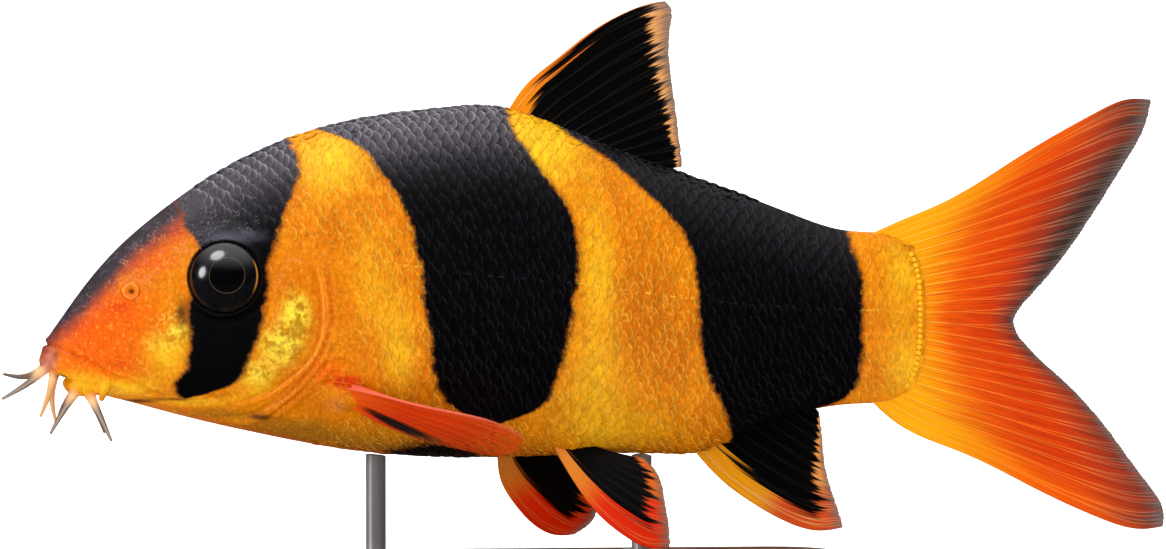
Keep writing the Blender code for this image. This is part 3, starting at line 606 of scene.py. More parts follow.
def join_barbels(made):
    """Joins the barbels to the lips and softens the skin round their roots."""
    lines = [barbel_line(kind, side) for kind in BARBELS for _, side in SIDES]
    combine(made, [tube("barbel", line, radii, 20) for line, radii in lines], "UNION")
    shape = bmesh.new()
    shape.from_mesh(made.data)
    spots = places_of(made)
    near_root = np.zeros(len(spots), bool)
    for line, radii in lines:
        roots = line[:ROOT_POINTS]
        away = np.linalg.norm(spots[:, None, :] - roots[None, ::3, :], axis=2).min(axis=1)
        near_root |= away < radii[0] + ROOT_REACH
    shape.verts.ensure_lookup_table()
    soft = [shape.verts[int(i)] for i in np.flatnonzero(near_root)]
    for _ in range(ROOT_PASSES):
        bmesh.ops.smooth_vert(shape, verts=soft, factor=0.5,
                              use_axis_x=True, use_axis_y=True, use_axis_z=True)
    shape.to_mesh(made.data)
    shape.free()


# The markings are mostly pigment in the flesh: three black bands, a dusky stripe up the snout and softer
# patches on orange. Some of them are painted light: the bands' grey along the back is painted sheen, the
# lid's grey a painted highlight, most smudges painted shade in the mouth, the nostrils and the folds, and the
# khaki along the underside partly painted shade. Skin and scales both take them from these lines. Each band
# has the lines of its front and its rear edge, and each patch its middle, its two reaches and its strength.
BAND_EDGES = [
    ([(10, 27), (15, 22.0), (18.6, 19.0), (21.0, 16.3), (21.6, 14.0), (23.0, 12.2), (23.8, 10.0),
      (23.4, 7.0), (22.4, 4.2), (21.9, 1.7), (22.2, -1.1), (22.0, -4.1), (21.8, -6.3), (21.4, -7.4),
      (20.4, -8.5), (19.9, -9.6), (20.2, -10.8), (22.2, -12)],
     [(36.4, 27.4), (38.2, 22.5), (37.3, 19.5), (36.0, 16.6), (35.2, 13.7), (34.1, 10.7), (33.3, 7.8),
      (33.3, 4.8), (32.7, 1.9), (32.1, -1.1), (31.1, -4.0), (29.7, -7.1), (26.0, -10.1), (21.8, -11.3),
      (19, -12)]),
    ([(39.5, 29.5), (41.4, 28.5), (44.5, 27.4), (48.2, 25.4), (50.2, 22.5), (52.5, 19.5), (53.9, 16.6),
      (54.9, 13.7), (55.5, 10.7), (56.2, 7.8), (56.5, 4.8), (56.8, 1.9), (57.5, -1.1), (57.8, -4.1),
      (58.1, -7.1), (58.9, -10.1), (61.6, -13.1), (67, -15.6)],
     [(69.2, 31.9), (70.0, 28.5), (71.8, 25.6), (74.1, 22.4), (76.2, 19.5), (78.1, 16.5), (79.0, 13.5),
      (79.4, 10.6), (79.5, 7.6), (78.9, 4.7), (78.6, 1.7), (78.1, -1.2), (77.4, -4.2), (76.6, -7.2),
      (75.6, -10.2), (73.4, -13.2), (67, -15.6)]),
    ([(77.0, 30), (77.9, 28.6), (83.2, 25.0), (87, 22.0), (89.9, 19.3), (93.0, 16.4), (95.4, 13.4),
      (96.8, 10.4), (97.4, 7.5), (97.7, 4.5), (97.9, 1.5), (98.0, -1.5), (98.4, -4.5), (99.1, -7.5),
      (100.4, -10.5), (102.0, -13.6), (103.5, -18.5)],
     [(120.6, 14.5), (121.4, 10.1), (122.4, 7.2), (122.8, 4.2), (122.8, 1.2), (122.7, -1.8),
      (123.0, -4.8), (122.7, -7.9), (121.6, -10.9), (119.5, -12.6), (115.5, -14.2), (112.0, -16.2),
      (108, -18.5)]),
]
STRIPE_EDGE = [(0, -4.9), (1.4, -3.2), (4.5, -0.6), (7.5, 2.5), (9.9, 5.0), (11.7, 7.2), (13.8, 9.4),
               (16.7, 11.6), (19.5, 13.8), (22, 15.8), (26, 19.0)]
BELLY_PATCH = ((58.4, -21.4), (7.4, 3.0))
PATCHES = {
    "yellow": [((43, 24), (6, 6), 0.8), ((49, 6), (4, 10), 0.4), ((74, 27), (7, 8), 1.0),
               ((82.5, 6), (3.4, 14), 0.6), ((82, -10), (7, 7), 0.5), ((129.5, 7), (4, 6), 0.6),
               ((129.8, -7), (4, 7), 0.6), ((53, -5), (3, 9), 0.6), ((18.4, -4.8), (4.4, 3.8), 0.65),
               ((13.3, 4.6), (1.4, 1.4), 0.5), ((23, -11.9), (7, 1.0), 0.6), ((7, -8.6), (3.6, 1.8), 0.8),
               ((12, -9.8), (6, 1.6), 0.7), ((32, -10), (4, 3), 0.5), ((86, -17), (13, 4.5), 0.5),
               ((5, -8), (3, 1.6), 0.35)],
    "deep": [((89, 3), (6, 10), 0.95), ((44, 15), (5, 4), 0.3), ((94, -5), (4, 9), 0.5),
             ((7.8, -10.2), (0.9, 0.6), 0.9), ((38, 12.4), (3, 3), 0.3), ((71, -19), (12, 2.0), 0.25),
             ((36.4, 6.5), (2, 4), 0.4)],
    "snout": [((7, -1), (8, 6), 1.0), ((13.5, 2), (5, 4.4), 0.6), ((10, -6), (6, 3), 0.6),
              ((17, 9.4), (4, 3), 0.55), ((42.6, -7.4), (3.4, 2.6), 0.7)],
    "red": [((11.2, 2.0), (2.4, 1.7), 0.6), ((14.2, 8.4), (4.0, 1.8), 0.5),
            ((20.4, 13.4), (2.6, 2.4), 0.6), ((5.4, -0.8), (3.4, 1.5), 0.5),
            ((45.6, -9.2), (2.4, 1.8), 0.65), ((12.0, -6.2), (2.4, 1.4), 0.45),
            ((17.5, 11.2), (3, 2), 0.3), ((44.8, -9.0), (2.2, 0.6), 0.6),
            ((44.4, -8.4), (1.8, 0.5), 0.7)],
    "gold": [((37.6, 1.0), (2.3, 3.8), 1.0), ((35.2, -3.4), (3.2, 3.0), 1.0),
             ((20.6, -1.6), (2.0, 1.6), 0.8), ((18.0, -3.4), (3.4, 2.0), 0.5),
             ((32.0, -7.6), (2.8, 2.0), 0.8)],
    # The khaki along the underside is partly the belly's own colour and partly painted shade.
    "khaki": [((48, -19.8), (14, 4.0), 0.85), ((37, -16.4), (8, 2.3), 0.95),
              ((26, -13.8), (6, 1.1), 0.7)],
    # Some smudges are dark marks on the skin; most are painted shade in the mouth, the nostrils, under the
    # upper lip and in the folds of the jaw and the gill cover.
    "smudge_and_shade": [((32.4, -14.2), (2.2, 0.5), 0.9), ((40, -16.0), (2.2, 0.6), 0.4),
               ((14.6, -11.9), (3.0, 0.4), 0.8), ((20.9, 1.2), (1.2, 2.8), 0.8),
               ((19.8, -11.5), (3.6, 0.3), 0.7), ((13.5, 4.5), (0.42, 0.42), 1.0),
               ((2.9, -8.3), (1.0, 0.4), 1.0), ((0.4, -3.6), (1.0, 0.3), 0.8),
               ((2.3, -5.0), (0.7, 0.9), 0.55)],
    # The lid's grey is a painted highlight on the fold over the eye.
    "lid": [((28.0, 12.8), (5.0, 1.2), 0.9)],
    "grainy": [((20.4, 0.8), (3.4, 1.8), 0.9), ((18.0, -2.6), (3.2, 2.6), 0.6),
               ((36.0, -2.0), (3.2, 5.0), 0.5)],
    "pink": [((0.8, -4.8), (1.5, 2.1), 1.0), ((0.4, -6.9), (1.6, 1.2), 0.8),
             ((43.6, -12.4), (2.4, 1.6), 0.35)],
}
# The grey that the bands take along the back is painted sheen.
BACK_SHEEN_DEPTH = 6.0  # how far down from the back the bands stay greyer
LATERAL_LINE = [(33.5, 14.2), (38.8, 11.9), (44, 10.3), (56, 8.2), (66, 6.9), (77, 5.9), (98, 3.0),
                (112, 1.8), (122.5, 1.2), (131, 0.6)]

ORANGE_DULL = (216, 113, 1)
ORANGE_BRIGHT = (230, 134, 3)
PATCH_CELLS = 700.0  # how fine the mottling is that breaks up a patch's border

# The patches in the order they are laid, with how broken their borders are, and their colours
PATCH_TINTS = [
    ("deep", 0.4, PATCH_CELLS, (202, 104, 3)),
    ("yellow", 0.4, PATCH_CELLS, (250, 190, 26)),
    ("snout", 0.3, PATCH_CELLS, (240, 94, 1)),
    ("khaki", 0.35, PATCH_CELLS, (176, 112, 20)),
    ("red", 0.4, 500.0, (214, 52, 2)),
    ("pink", 0.2, PATCH_CELLS, (198, 118, 100)),
]

# Rings round the nostril and lines along the gill cover's folds: painted highlights on the rims and lips, and
# painted shade outside the nostril's rim and in the folds' grooves. Each has its place, half width, core,
# strength and colour, and each gill line first says which line it follows
NOSTRIL_RIM_LIGHT_AND_SHADE = [(1.05, 0.16, 0.04, 0.3, (255, 196, 110)), (1.4, 0.22, 0.05, 0.35, (186, 56, 2))]
GILL_FOLD_LIGHT_AND_SHADE = [
    ("gill_edge", 0.05, 0.45, 0.0, 0.5, (196, 84, 2)),
    ("gill_edge", -0.62, 0.34, 0.0, 0.34, (255, 178, 66)),
    ("gill_seam", 0.0, 0.36, 0.0, 0.42, (196, 88, 2)),
    ("gill_seam", 0.5, 0.3, 0.0, 0.3, (255, 182, 64)),
]
GILL_MARGIN = (236, 124, 4)
GOLD_DULL = (186, 130, 8)
GOLD_SHEEN = (252, 222, 62)
GOLD_CRACK = (170, 110, 8)
KEEL_TINT = (230, 96, 10)
FLECK_TINT = (255, 196, 60)
GRAIN_PALE = (255, 228, 96)
GRAIN_DEEP = (222, 124, 4)
STRIPE_HALO = (176, 62, 22)
STRIPE_BORDER = (104, 54, 50)
STRIPE_TINT = (57, 49, 55)
SMUDGE_AND_SHADE_TINT = (44, 22, 6)
BAND_BORDER = (128, 56, 4)
BAND_BLACK = (5, 4, 6)
BAND_SHEEN = (74, 68, 75)
LID_HIGHLIGHT = (96, 94, 106)
SOCKET_SHADE = (12, 9, 9)
THREAD_ON_ORANGE = (240, 150, 104)
THREAD_ON_BLACK = (128, 120, 130)
BARBEL_ROOT_TINT = (252, 200, 146)
BARBEL_SLATE = (112, 92, 80)
BARBEL_HIGHLIGHT = (164, 146, 132)
BARBEL_PALE = (226, 168, 112)
SKIN_RELIEF = 0.00012

band_edges = [[smooth_curve([(z, x) for x, z in edge]) for edge in edges] for edges in BAND_EDGES]
stripe_edge = smooth_curve(STRIPE_EDGE)
lateral_line = smooth_curve(LATERAL_LINE)
gill_edge, gill_seam = [smooth_curve([(z, x) for x, z in line]) for line in (GILL_EDGE, GILL_SEAM)]


def markings(spots):
    """Every marking at each spot. Black and the lateral line are distances, the patches are shares."""
    x, z = spots[:, 0], spots[:, 2]
    black = np.full(len(spots), -20.0)
    for front, rear in band_edges:
        black = np.maximum(black, np.minimum(x - front(z), rear(z) - x))
    centre, reach = BELLY_PATCH
    patch = 2.2 * (1 - np.hypot((x - centre[0]) / reach[0], (z - centre[1]) / reach[1]))
    found = {"black": np.maximum(black, patch)}
    found["stripe"] = np.where(x < 27, 0.75 * (z - stripe_edge(x)), -9.0)
    below_back = np.maximum(back_line(x) - z, 0)
    # The ridge value is how much painted sheen greys the bands along the back.
    found["ridge"] = np.exp(-(below_back / BACK_SHEEN_DEPTH) ** 2) * np.interp(x, (66, 84), (1, 0.1))
    found["nostril"] = np.hypot(x - NOSTRIL_PLACE[0], z - NOSTRIL_PLACE[1])
    found["socket"] = np.hypot(x - EYE_PLACE[0], z - EYE_PLACE[1])
    found["line"] = np.abs(z - lateral_line(x)) + 4.0 * (x < 33.8)
    found["gill_edge"] = x - gill_edge(z)
    found["gill_seam"] = x - gill_seam(z)
    found["gill"] = np.interp(z, (-13.4, -11.4, 6.0, 9.0), (0, 1, 1, 0))
    found["keel"] = np.clip(1.2 - (z - belly_line(x)), 0, 1) * np.interp(x, (19, 25, 50, 56), (0, 1, 1, 0))
    for name, patches in PATCHES.items():
        share = np.zeros(len(spots))
        for (at_x, at_z), (long_way, high_way), strength in patches:
            here = strength * np.exp(-((x - at_x) / long_way) ** 2 - ((z - at_z) / high_way) ** 2)
            share = share + here - share * here
        found[name] = share
    return found


def store(made, values):
    """Keeps values on a shape's points, for its material to read."""
    for name, numbers in values.items():
        attribute = made.data.attributes.new(name, "FLOAT", "POINT")
        attribute.data.foreach_set("value", np.asarray(numbers, np.float32))


def barbel_shares(spots):
    """How far along a barbel each spot is, whether the barbel is a pale inner one, and its pale streak, a
    painted highlight along its outward side.
    """
    share, pale, streak = np.zeros((3, len(spots)))
    near = np.flatnonzero((spots[:, 0] < 14) & (spots[:, 2] < -4))
    for kind in BARBELS:
        for _, side in SIDES:
            line, radii = barbel_line(kind, side)
            away = np.linalg.norm(spots[near][:, None, :] - line[None, :, :], axis=2)
            best = away.argmin(axis=1)
            nearest = away[np.arange(len(near)), best]
            on_it = nearest < radii[best] * 1.35 + 0.05
            share[near] = np.where(on_it, np.maximum(share[near], best / (len(line) - 1)), share[near])
            out = side * (spots[near] - line[best])[:, 1] / np.maximum(nearest, 0.01)
            streak[near] = np.where(on_it, np.clip(out, 0, 1), streak[near])
            if kind == "rostral_inner":
                pale[near] = np.where(on_it, 1.0, pale[near])
    return {"barbel": share, "pale": pale, "streak": streak}


def in_metres(made, material):
    """Puts a finished shape in metres, shades it smooth and lets it ride on the model."""
    made.data.transform(Matrix.Scale(0.001, 4))
    made.data.materials.clear()
    made.data.materials.append(material)
    made.data.shade_smooth()
    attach(made, "root")


def crown_shares(spots):
    """How far each spot is on the top of the head, where the pale threads are."""
    x, z = spots[:, 0], spots[:, 2]
    return {"crown": np.clip((38 - x) / 6, 0, 1) * np.clip((z + 4 - x * 0.5) / 4, 0, 1)}


def mark(tree, name):
    """A value that is kept on a shape's points."""
    return add(tree, "Attribute", attribute_name=name).outputs["Fac"]


def tinted(tree, colour, brightness):
    """A colour made darker or brighter by a value."""
    grey = add(tree, "CombineXYZ", {i: brightness for i in range(3)}).outputs[0]
    return mix(tree, 1.0, colour, grey, "MULTIPLY")


def marking_colours():
    """The group that both the skin and the scales take their colours from."""
    tree, _, out = new_group("marking_colours", {}, {"Color": "Color", "Black": "Float", "Glitter": "Float"})
    place = stretched(tree, (1, 1, 1))

    def share(name, spread, cells=PATCH_CELLS):
        """A patch with its border broken up by the flesh's own mottling."""
        rough = times(tree, calc(tree, "SUBTRACT", noise(tree, place, cells, 3.0), 0.5), spread)
        return ramp(tree, calc(tree, "ADD", mark(tree, name), rough), 0.08, 0.92)

    # Clouded orange flesh with its patches, and the nostril's rim drawn in with a painted highlight and
    # painted shade just outside it
    cloud = ramp(tree, noise(tree, place, 160.0, 4.0, 0.55), 0.3, 0.7)
    colour = mix(tree, cloud, paint(*ORANGE_DULL), paint(*ORANGE_BRIGHT))
    for name, spread, cells, tint in PATCH_TINTS:
        colour = lay(tree, colour, share(name, spread, cells), tint)
    for radius, half, core, strength, tint in NOSTRIL_RIM_LIGHT_AND_SHADE:
        rim_light_and_shade = ramp(tree, apart(tree, mark(tree, "nostril"), radius), half, core, 0.0, strength)
        colour = lay(tree, colour, rim_light_and_shade, tint)

    # Flakes of cracked gold on the cheek and the gill cover, clouded with painted sheen on their brighter
    # facets
    warp = add(tree, "TexNoise", {"Vector": place, "Scale": 500.0}).outputs["Color"]
    bent = add(tree, "VectorMath", {0: warp, "Scale": 0.0012}, operation="SCALE").outputs[0]
    where = add(tree, "VectorMath", {0: place, 1: bent}, operation="ADD").outputs[0]
    cracks = add(tree, "TexVoronoi", {"Vector": where, "Scale": 850.0},
                 feature="DISTANCE_TO_EDGE").outputs["Distance"]
    sheen = ramp(tree, noise(tree, where, 420.0, 3.0, 0.65), 0.4, 0.58)
    metal = mix(tree, sheen, paint(*GOLD_DULL), paint(*GOLD_SHEEN))
    metal = lay(tree, metal, ramp(tree, cracks, 0.1, 0.0, 0.0, 0.32), GOLD_CRACK)
    gold = share("gold", 0.5)
    colour = mix(tree, gold, colour, metal)

    # The soft margin between the gill cover's seam and its edge, painted shade in the grooves of its folds
    # and painted highlights on their lips, and the redder keel of the breast
    gill = mark(tree, "gill")
    before_edge = ramp(tree, mark(tree, "gill_edge"), 0.1, -0.3)
    behind_seam = ramp(tree, mark(tree, "gill_seam"), -0.1, 0.3)
    margin = times(tree, times(tree, before_edge, behind_seam), gill)
    colour = lay(tree, colour, margin, GILL_MARGIN, 0.7)
    for name, at, half, core, strength, tint in GILL_FOLD_LIGHT_AND_SHADE:
        fold_light_and_shade = ramp(tree, apart(tree, mark(tree, name), at), half, core, 0.0, strength)
        colour = lay(tree, colour, times(tree, fold_light_and_shade, gill), tint)
    colour = lay(tree, colour, mark(tree, "keel"), KEEL_TINT, 0.7)

    # The speckle, the flecks and the coarser grains in the flesh
    speck = noise(tree, stretched(tree, (1, 1, 0.65)), 2000.0, 3.0, 0.6)
    colour = tinted(tree, colour, ramp(tree, speck, 0.32, 0.68, 0.84, 1.14))
    colour = lay(tree, colour, ramp(tree, noise(tree, place, 1700.0, 1.0), 0.56, 0.7), FLECK_TINT, 0.26)
    grains = noise(tree, place, 1500.0, 3.0, 0.6)
    grainy = share("grainy", 0.4)
    colour = lay(tree, colour, times(tree, ramp(tree, grains, 0.5, 0.62, 0.0, 0.55), grainy), GRAIN_PALE)
    colour = lay(tree, colour, times(tree, ramp(tree, grains, 0.47, 0.36, 0.0, 0.4), grainy), GRAIN_DEEP)

    # The stripe up the snout, in a rusty halo, and the dark smudges, most of them painted shade in the mouth,
    # the nostrils and the folds
    fuzz = times(tree, calc(tree, "SUBTRACT", noise(tree, place, 700.0, 4.0, 0.65), 0.5), 2.0)
    hide_grain = ramp(tree, noise(tree, place, 2400.0, 3.0), 0.32, 0.68, 0.72, 1.28)
    stripe = calc(tree, "ADD", mark(tree, "stripe"), fuzz)
    colour = lay(tree, colour, ramp(tree, stripe, -2.4, 0.2), STRIPE_HALO, 0.8)
    colour = lay(tree, colour, ramp(tree, stripe, -1.1, 0.9), STRIPE_BORDER, 0.9)
    striped = ramp(tree, stripe, 0.0, 1.6)
    colour = mix(tree, striped, colour, tinted(tree, paint(*STRIPE_TINT), hide_grain))
    colour = lay(tree, colour, share("smudge_and_shade", 0.4), SMUDGE_AND_SHADE_TINT, 0.85)

    # The black bands, greyed along the back by painted sheen and on the lid over the eye by a painted
    # highlight, and painted shade in the socket
    grey = tinted(tree, paint(*BAND_SHEEN), hide_grain)
    night = mix(tree, mark(tree, "ridge"), paint(*BAND_BLACK), grey)
    # A painted highlight on the lid over the eye
    night = lay(tree, night, share("lid", 0.5, 1400.0), LID_HIGHLIGHT, 0.6)
    band = calc(tree, "ADD", mark(tree, "black"), fuzz)
    colour = lay(tree, colour, ramp(tree, band, -1.1, 0.1), BAND_BORDER, 0.6)
    banded = ramp(tree, band, -0.5, 0.4)
    colour = mix(tree, banded, colour, night)
    # Painted shade in the socket round the eye's ball
    colour = lay(tree, colour, ramp(tree, mark(tree, "socket"), 5.7, 5.4, 0.0, 0.92), SOCKET_SHADE)
    tree.links.new(colour, out["Color"])
    tree.links.new(calc(tree, "MAXIMUM", banded, striped), out["Black"])
    tree.links.new(gold, out["Glitter"])
    return tree


def wet_skin(colours):
    """Moist bare skin: pored and finely creased, with pale threads over the head's top."""
    material, tree, shader = new_finish("wet_skin", {"Specular IOR Level": 0.09})
    base = add(tree, "Group", node_tree=colours).outputs
    place = stretched(tree, (1, 1, 1))
    threads = ramp(tree, apart(tree, noise(tree, place, 1000.0, 2.0, 0.6), 0.5), 0.035, 0.0)
    threads = times(tree, threads, ramp(tree, noise(tree, place, 500.0, 1.0), 0.42, 0.56))
    threads = times(tree, threads, mark(tree, "crown"))
    thread_colour = mix(tree, base["Black"], paint(*THREAD_ON_ORANGE), paint(*THREAD_ON_BLACK))
    colour = mix(tree, times(tree, threads, 0.6), base["Color"], thread_colour)
    barbel = mark(tree, "barbel")
    # The barbels' pale streak along their outward side is a painted highlight.
    streak = ramp(tree, mark(tree, "streak"), 0.7, 0.95)
    tip = mix(tree, streak, paint(*BARBEL_SLATE), paint(*BARBEL_HIGHLIGHT))
    tip = lay(tree, tip, mark(tree, "pale"), BARBEL_PALE)
    flesh = mix(tree, ramp(tree, barbel, 0.2, 0.5), paint(*BARBEL_ROOT_TINT), tip)
    colour = mix(tree, ramp(tree, barbel, 0.06, 0.26), colour, flesh)
    pores = noise(tree, place, 2400.0, 2.0, 0.5)
    creases = noise(tree, place, 700.0, 3.0, 0.55)
    relief = calc(tree, "ADD", creases, times(tree, threads, 0.6))
    relief = calc(tree, "ADD", times(tree, pores, 0.35), relief)
    rough = ramp(tree, creases, 0.3, 0.7, 0.36, 0.5)
    rough = calc(tree, "SUBTRACT", rough, times(tree, base["Glitter"], 0.14))
    dress(tree, shader, colour, rough, relief, SKIN_RELIEF, 0.6)
    return material


skin = raw_skin()
press_folds(skin)
join_barbels(skin)
skin_spots = places_of(skin)
store(skin, markings(skin_spots))
store(skin, barbel_shares(skin_spots))
store(skin, crown_shares(skin_spots))
skin_tree = BVHTree.FromPolygons([v.co for v in skin.data.vertices],
                                 [p.vertices for p in skin.data.polygons])
shared_markings = marking_colours()
in_metres(skin, wet_skin(shared_markings))
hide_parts("head", "shoulder", "trunk", "tail_stem", "gill_cover_left", "gill_cover_right",
            *[f"barbel_{kind}_{name}" for kind in BARBELS for name, _ in SIDES])


# The scales are small thin plates of horn in rows over the trunk and the nape, each with its front end
# in the skin and its round rear edge free over the next. Each is a closed plate, and they are joined
# into coats, which share the skin's markings.

SCALE_STEP_BACK = 0.78
SCALE_STEP_ROUND = 2.7
SCALE_LENGTH = 2.5
SCALE_WIDTH = 2.86

# The rows of a scale's points from root to free edge: shares of its length and width, and the height
SCALE_ROWS = [(0.0, 0.7, -0.2), (0.4, 1.0, -0.06), (0.66, 1.0, 0.05), (0.84, 1.0, 0.13), (0.95, 0.985, 0.16),
              (1.0, 0.955, 0.07)]
SCALE_COLUMNS = (-1.0, -0.95, -0.83, -0.62, -0.33, 0.0, 0.33, 0.62, 0.83, 0.95, 1.0)
SCALE_ARCH = 0.2
SCALE_ROUNDING = 0.46  # how far back the corners of the rear edge lie, as a share of the length
SCALE_FADE = 3.0  # over how many millimetres the first scales rise out of the skin
SCALE_START = [(32, -23), (37, -19), (41, -17), (45.6, -13.5), (47.8, -9.5), (47.2, -6.4), (44.6, -4.0),
               (44.2, -2), (44.2, 3), (44.1, 6), (43.4, 9.6), (39.8, 11.2), (34.5, 12.2), (30, 13.8),
               (26, 15.2), (22.8, 17), (21.2, 20)]
SCALE_END = 131.6
STEM_START = 106.0  # behind here the back and the belly are narrow and bare along their edges
STEM_BARE = (1.1, 1.3)  # how far in from the belly and from the back
FIRST_ROW = 21.0

# The coats from front to rear, with where each starts and ends
COATS = [("front", 0.0, 63.0), ("middle", 63.0, 92.0), ("rear", 92.0, 140.0)]
COAT_SEED = 11
BAKE_PATCH = 0.003

# How uneven the scales are in their places, their turn, their size and their rise
PLACE_SPREAD = 0.1
ANGLE_SPREAD = 0.006
TURN_SPREAD = 0.13
SIZE_SPREAD = 0.06
RISE_SPREAD = 0.2
SCALE_COVER = 0.3  # the share of a scale under the scales before it
ROOT_AHEAD = 0.3  # how far its front end lies ahead of its root's place
RISE_ON_ORANGE = 0.42  # orange scales lie flatter than black ones
# The rims' pale colours are painted highlights, the scale shadows are painted shadow behind each free edge,
# and the sheen on the back is painted sheen.
RIM_HIGHLIGHT_ON_ORANGE = (255, 206, 70)
RIM_HIGHLIGHT_ON_BLACK = (40, 39, 46)
RIM_HIGHLIGHT_ON_BACK = (214, 209, 218)
SCALE_SHADOW_ON_ORANGE = (200, 96, 1)
SCALE_SHADOW_ON_BLACK = (2, 2, 3)
SCALE_SHEEN_ON_BACK = (150, 145, 155)
HORN_RELIEF = 0.00006


def scale_start(z):
    """Where the first scales lie at a height."""
    return np.interp(z, [b for a, b in SCALE_START], [a for a, b in SCALE_START])


def scale_template():
    """A scale's points as (back, across, up) shares and its faces, with how free each point is."""
    points, free = [], []  # the second list says how far each point is past the cover of the scales before
    for back, wide, up in SCALE_ROWS:
        for across in SCALE_COLUMNS:
            corner = 1 - math.sqrt(1 - across**2)
            points.append((back * (1 - SCALE_ROUNDING * corner), across * wide, up - SCALE_ARCH * across**2))
            free.append(max((back - SCALE_COVER) / (1 - SCALE_COVER), 0.0))
    wide = len(SCALE_COLUMNS)
    tall = len(SCALE_ROWS)
    faces = [(r * wide + c, r * wide + c + 1, (r + 1) * wide + c + 1, (r + 1) * wide + c)
             for r in range(tall - 1) for c in range(wide - 1)]
    border = (list(range(wide)) + [r * wide + wide - 1 for r in range(1, tall)]
              + [(tall - 1) * wide + c for c in range(wide - 2, -1, -1)]
              + [r * wide for r in range(tall - 2, 0, -1)])
    return np.array(points), np.array(free), faces, border[::-1]


def scale_roots():
    """The place of each scale's root on the unwrapped skin, as (x, angle from the back)."""
    found = []
    angles = np.linspace(0, math.pi, 500)
    for row, x in enumerate(np.arange(FIRST_ROW, SCALE_END, SCALE_STEP_BACK)):
        line = ring(x, angles)
        along = np.concatenate([[0], np.cumsum(np.linalg.norm(np.diff(line, axis=0), axis=1))])
        places = np.arange((row % 2) * SCALE_STEP_ROUND / 2 + 0.25, along[-1], SCALE_STEP_ROUND)
        for angle in np.interp(places, along, angles):
            z = float(np.interp(angle, angles, line[:, 2]))
            inside = belly_line(x) + STEM_BARE[0] < z < back_line(x) - STEM_BARE[1]
            if x > scale_start(z) and (inside or x <= STEM_START):
                found.append((x, angle))
    return np.array(found)


def lay_coat(name, roots, side, seed):
    """One coat of scales over the roots on one side, as a single shape."""
    random = np.random.default_rng(seed)
    count = len(roots)
    x = roots[:, 0] + random.normal(0, PLACE_SPREAD, count)
    angle = side * (roots[:, 1] + random.normal(0, ANGLE_SPREAD, count))
    step = 0.3
    spot = np.array([ring(a, b) for a, b in zip(x, angle)])
    ahead = np.array([ring(a + step, b) for a, b in zip(x, angle)]) - spot
    turned = np.array([ring(a, b + 0.01) for a, b in zip(x, angle)]) - spot
    outward = np.cross(ahead, turned)
    outward /= np.linalg.norm(outward, axis=1, keepdims=True)
    outward *= np.sign((outward * (spot - np.column_stack([x, 0 * x, section(x)[3]]))).sum(axis=1))[:, None]
    world = Vector((SNOUT_AT, 0, LEVEL_LINE_HEIGHT))
    for i in range(count):
        place, normal, _, _ = skin_tree.find_nearest(Vector(spot[i]) + world)
        spot[i] = place - world
        outward[i] = 0.65 * outward[i] + 0.35 * np.array(normal)
    outward /= np.linalg.norm(outward, axis=1, keepdims=True)
    ahead -= (ahead * outward).sum(axis=1, keepdims=True) * outward
    ahead /= np.linalg.norm(ahead, axis=1, keepdims=True)
    across = np.cross(outward, ahead)
    turn = random.normal(0, TURN_SPREAD, count)[:, None]
    ahead, across = ahead + turn * across, across - turn * ahead
    size = random.normal(1.0, SIZE_SPREAD, count) * np.interp(x, (24, 44, 110, 131), (0.82, 1.0, 1.0, 0.86))
    template, free, faces, border = scale_template()
    each = len(template)
    back = template[None, :, 0:1] * (SCALE_LENGTH * size)[:, None, None]
    wide = template[None, :, 1:2] * (SCALE_WIDTH / 2 * size)[:, None, None]
    rise = np.clip((x - scale_start(spot[:, 2])) / SCALE_FADE, 0.3, 1)
    rise = rise * random.normal(1.0, RISE_SPREAD, count)
    rise *= np.interp(markings(spot)["black"], (-1.5, 0.5), (RISE_ON_ORANGE, 1.0))
    from_back, from_belly = back_line(x) - spot[:, 2], spot[:, 2] - belly_line(x)
    rise *= np.interp(from_back, (0.2, 2.5), (0.3, 1.0)) * np.interp(from_belly, (0.2, 7.0), (0.3, 1.0))
    up = template[None, :, 2:3] * np.where(template[None, :, 2:3] > 0, rise[:, None, None], 1.0)
    points = (spot[:, None, :] + (back - ROOT_AHEAD) * ahead[:, None, :] + wide * across[:, None, :]
              + up * outward[:, None, :])
    shifts = np.arange(count)[:, None, None] * each
    quads = (np.array(faces)[None] + shifts).reshape(-1, 4).tolist()
    backs = (np.array(border)[None] + shifts[:, :, 0]).tolist()
    points = points.reshape(-1, 3)
    made = new_shape(name, points, quads + backs)
    store(made, markings(points))
    # The rim is where the painted highlight along the free edge goes, stronger on the scale's upper side.
    upper = 0.55 - 0.45 * side * template[:, 1]
    store(made, {"free": np.tile(free, count), "rim": np.tile(np.clip(5 * free - 4, 0, 1) * upper, count),
                 "tone": np.repeat(random.random(count), each)})
    unwrap(made, roots, side, template, each)
    return made


def unwrap(made, roots, side, template, each):
    """Lays each scale as a small patch at its root's place on the unwrapped skin."""
    root_u = roots[:, 0] / (STANDARD_LENGTH + 2)
    root_v = 0.5 + side * roots[:, 1] / (2 * math.pi) * 0.98
    patch = np.stack([template[:, 0], 0.5 + template[:, 1] / 2], axis=1) * BAKE_PATCH
    spots = np.stack([root_u, root_v], axis=1)[:, None, :] + patch[None, :, :]
    spots = spots.reshape(-1, 2)
    corners = np.empty(len(made.data.loops), np.int32)
    made.data.loops.foreach_get("vertex_index", corners)
    layer = made.data.uv_layers.new(name="OFBake")
    layer.data.foreach_set("uv", spots[corners].astype(np.float32).ravel())


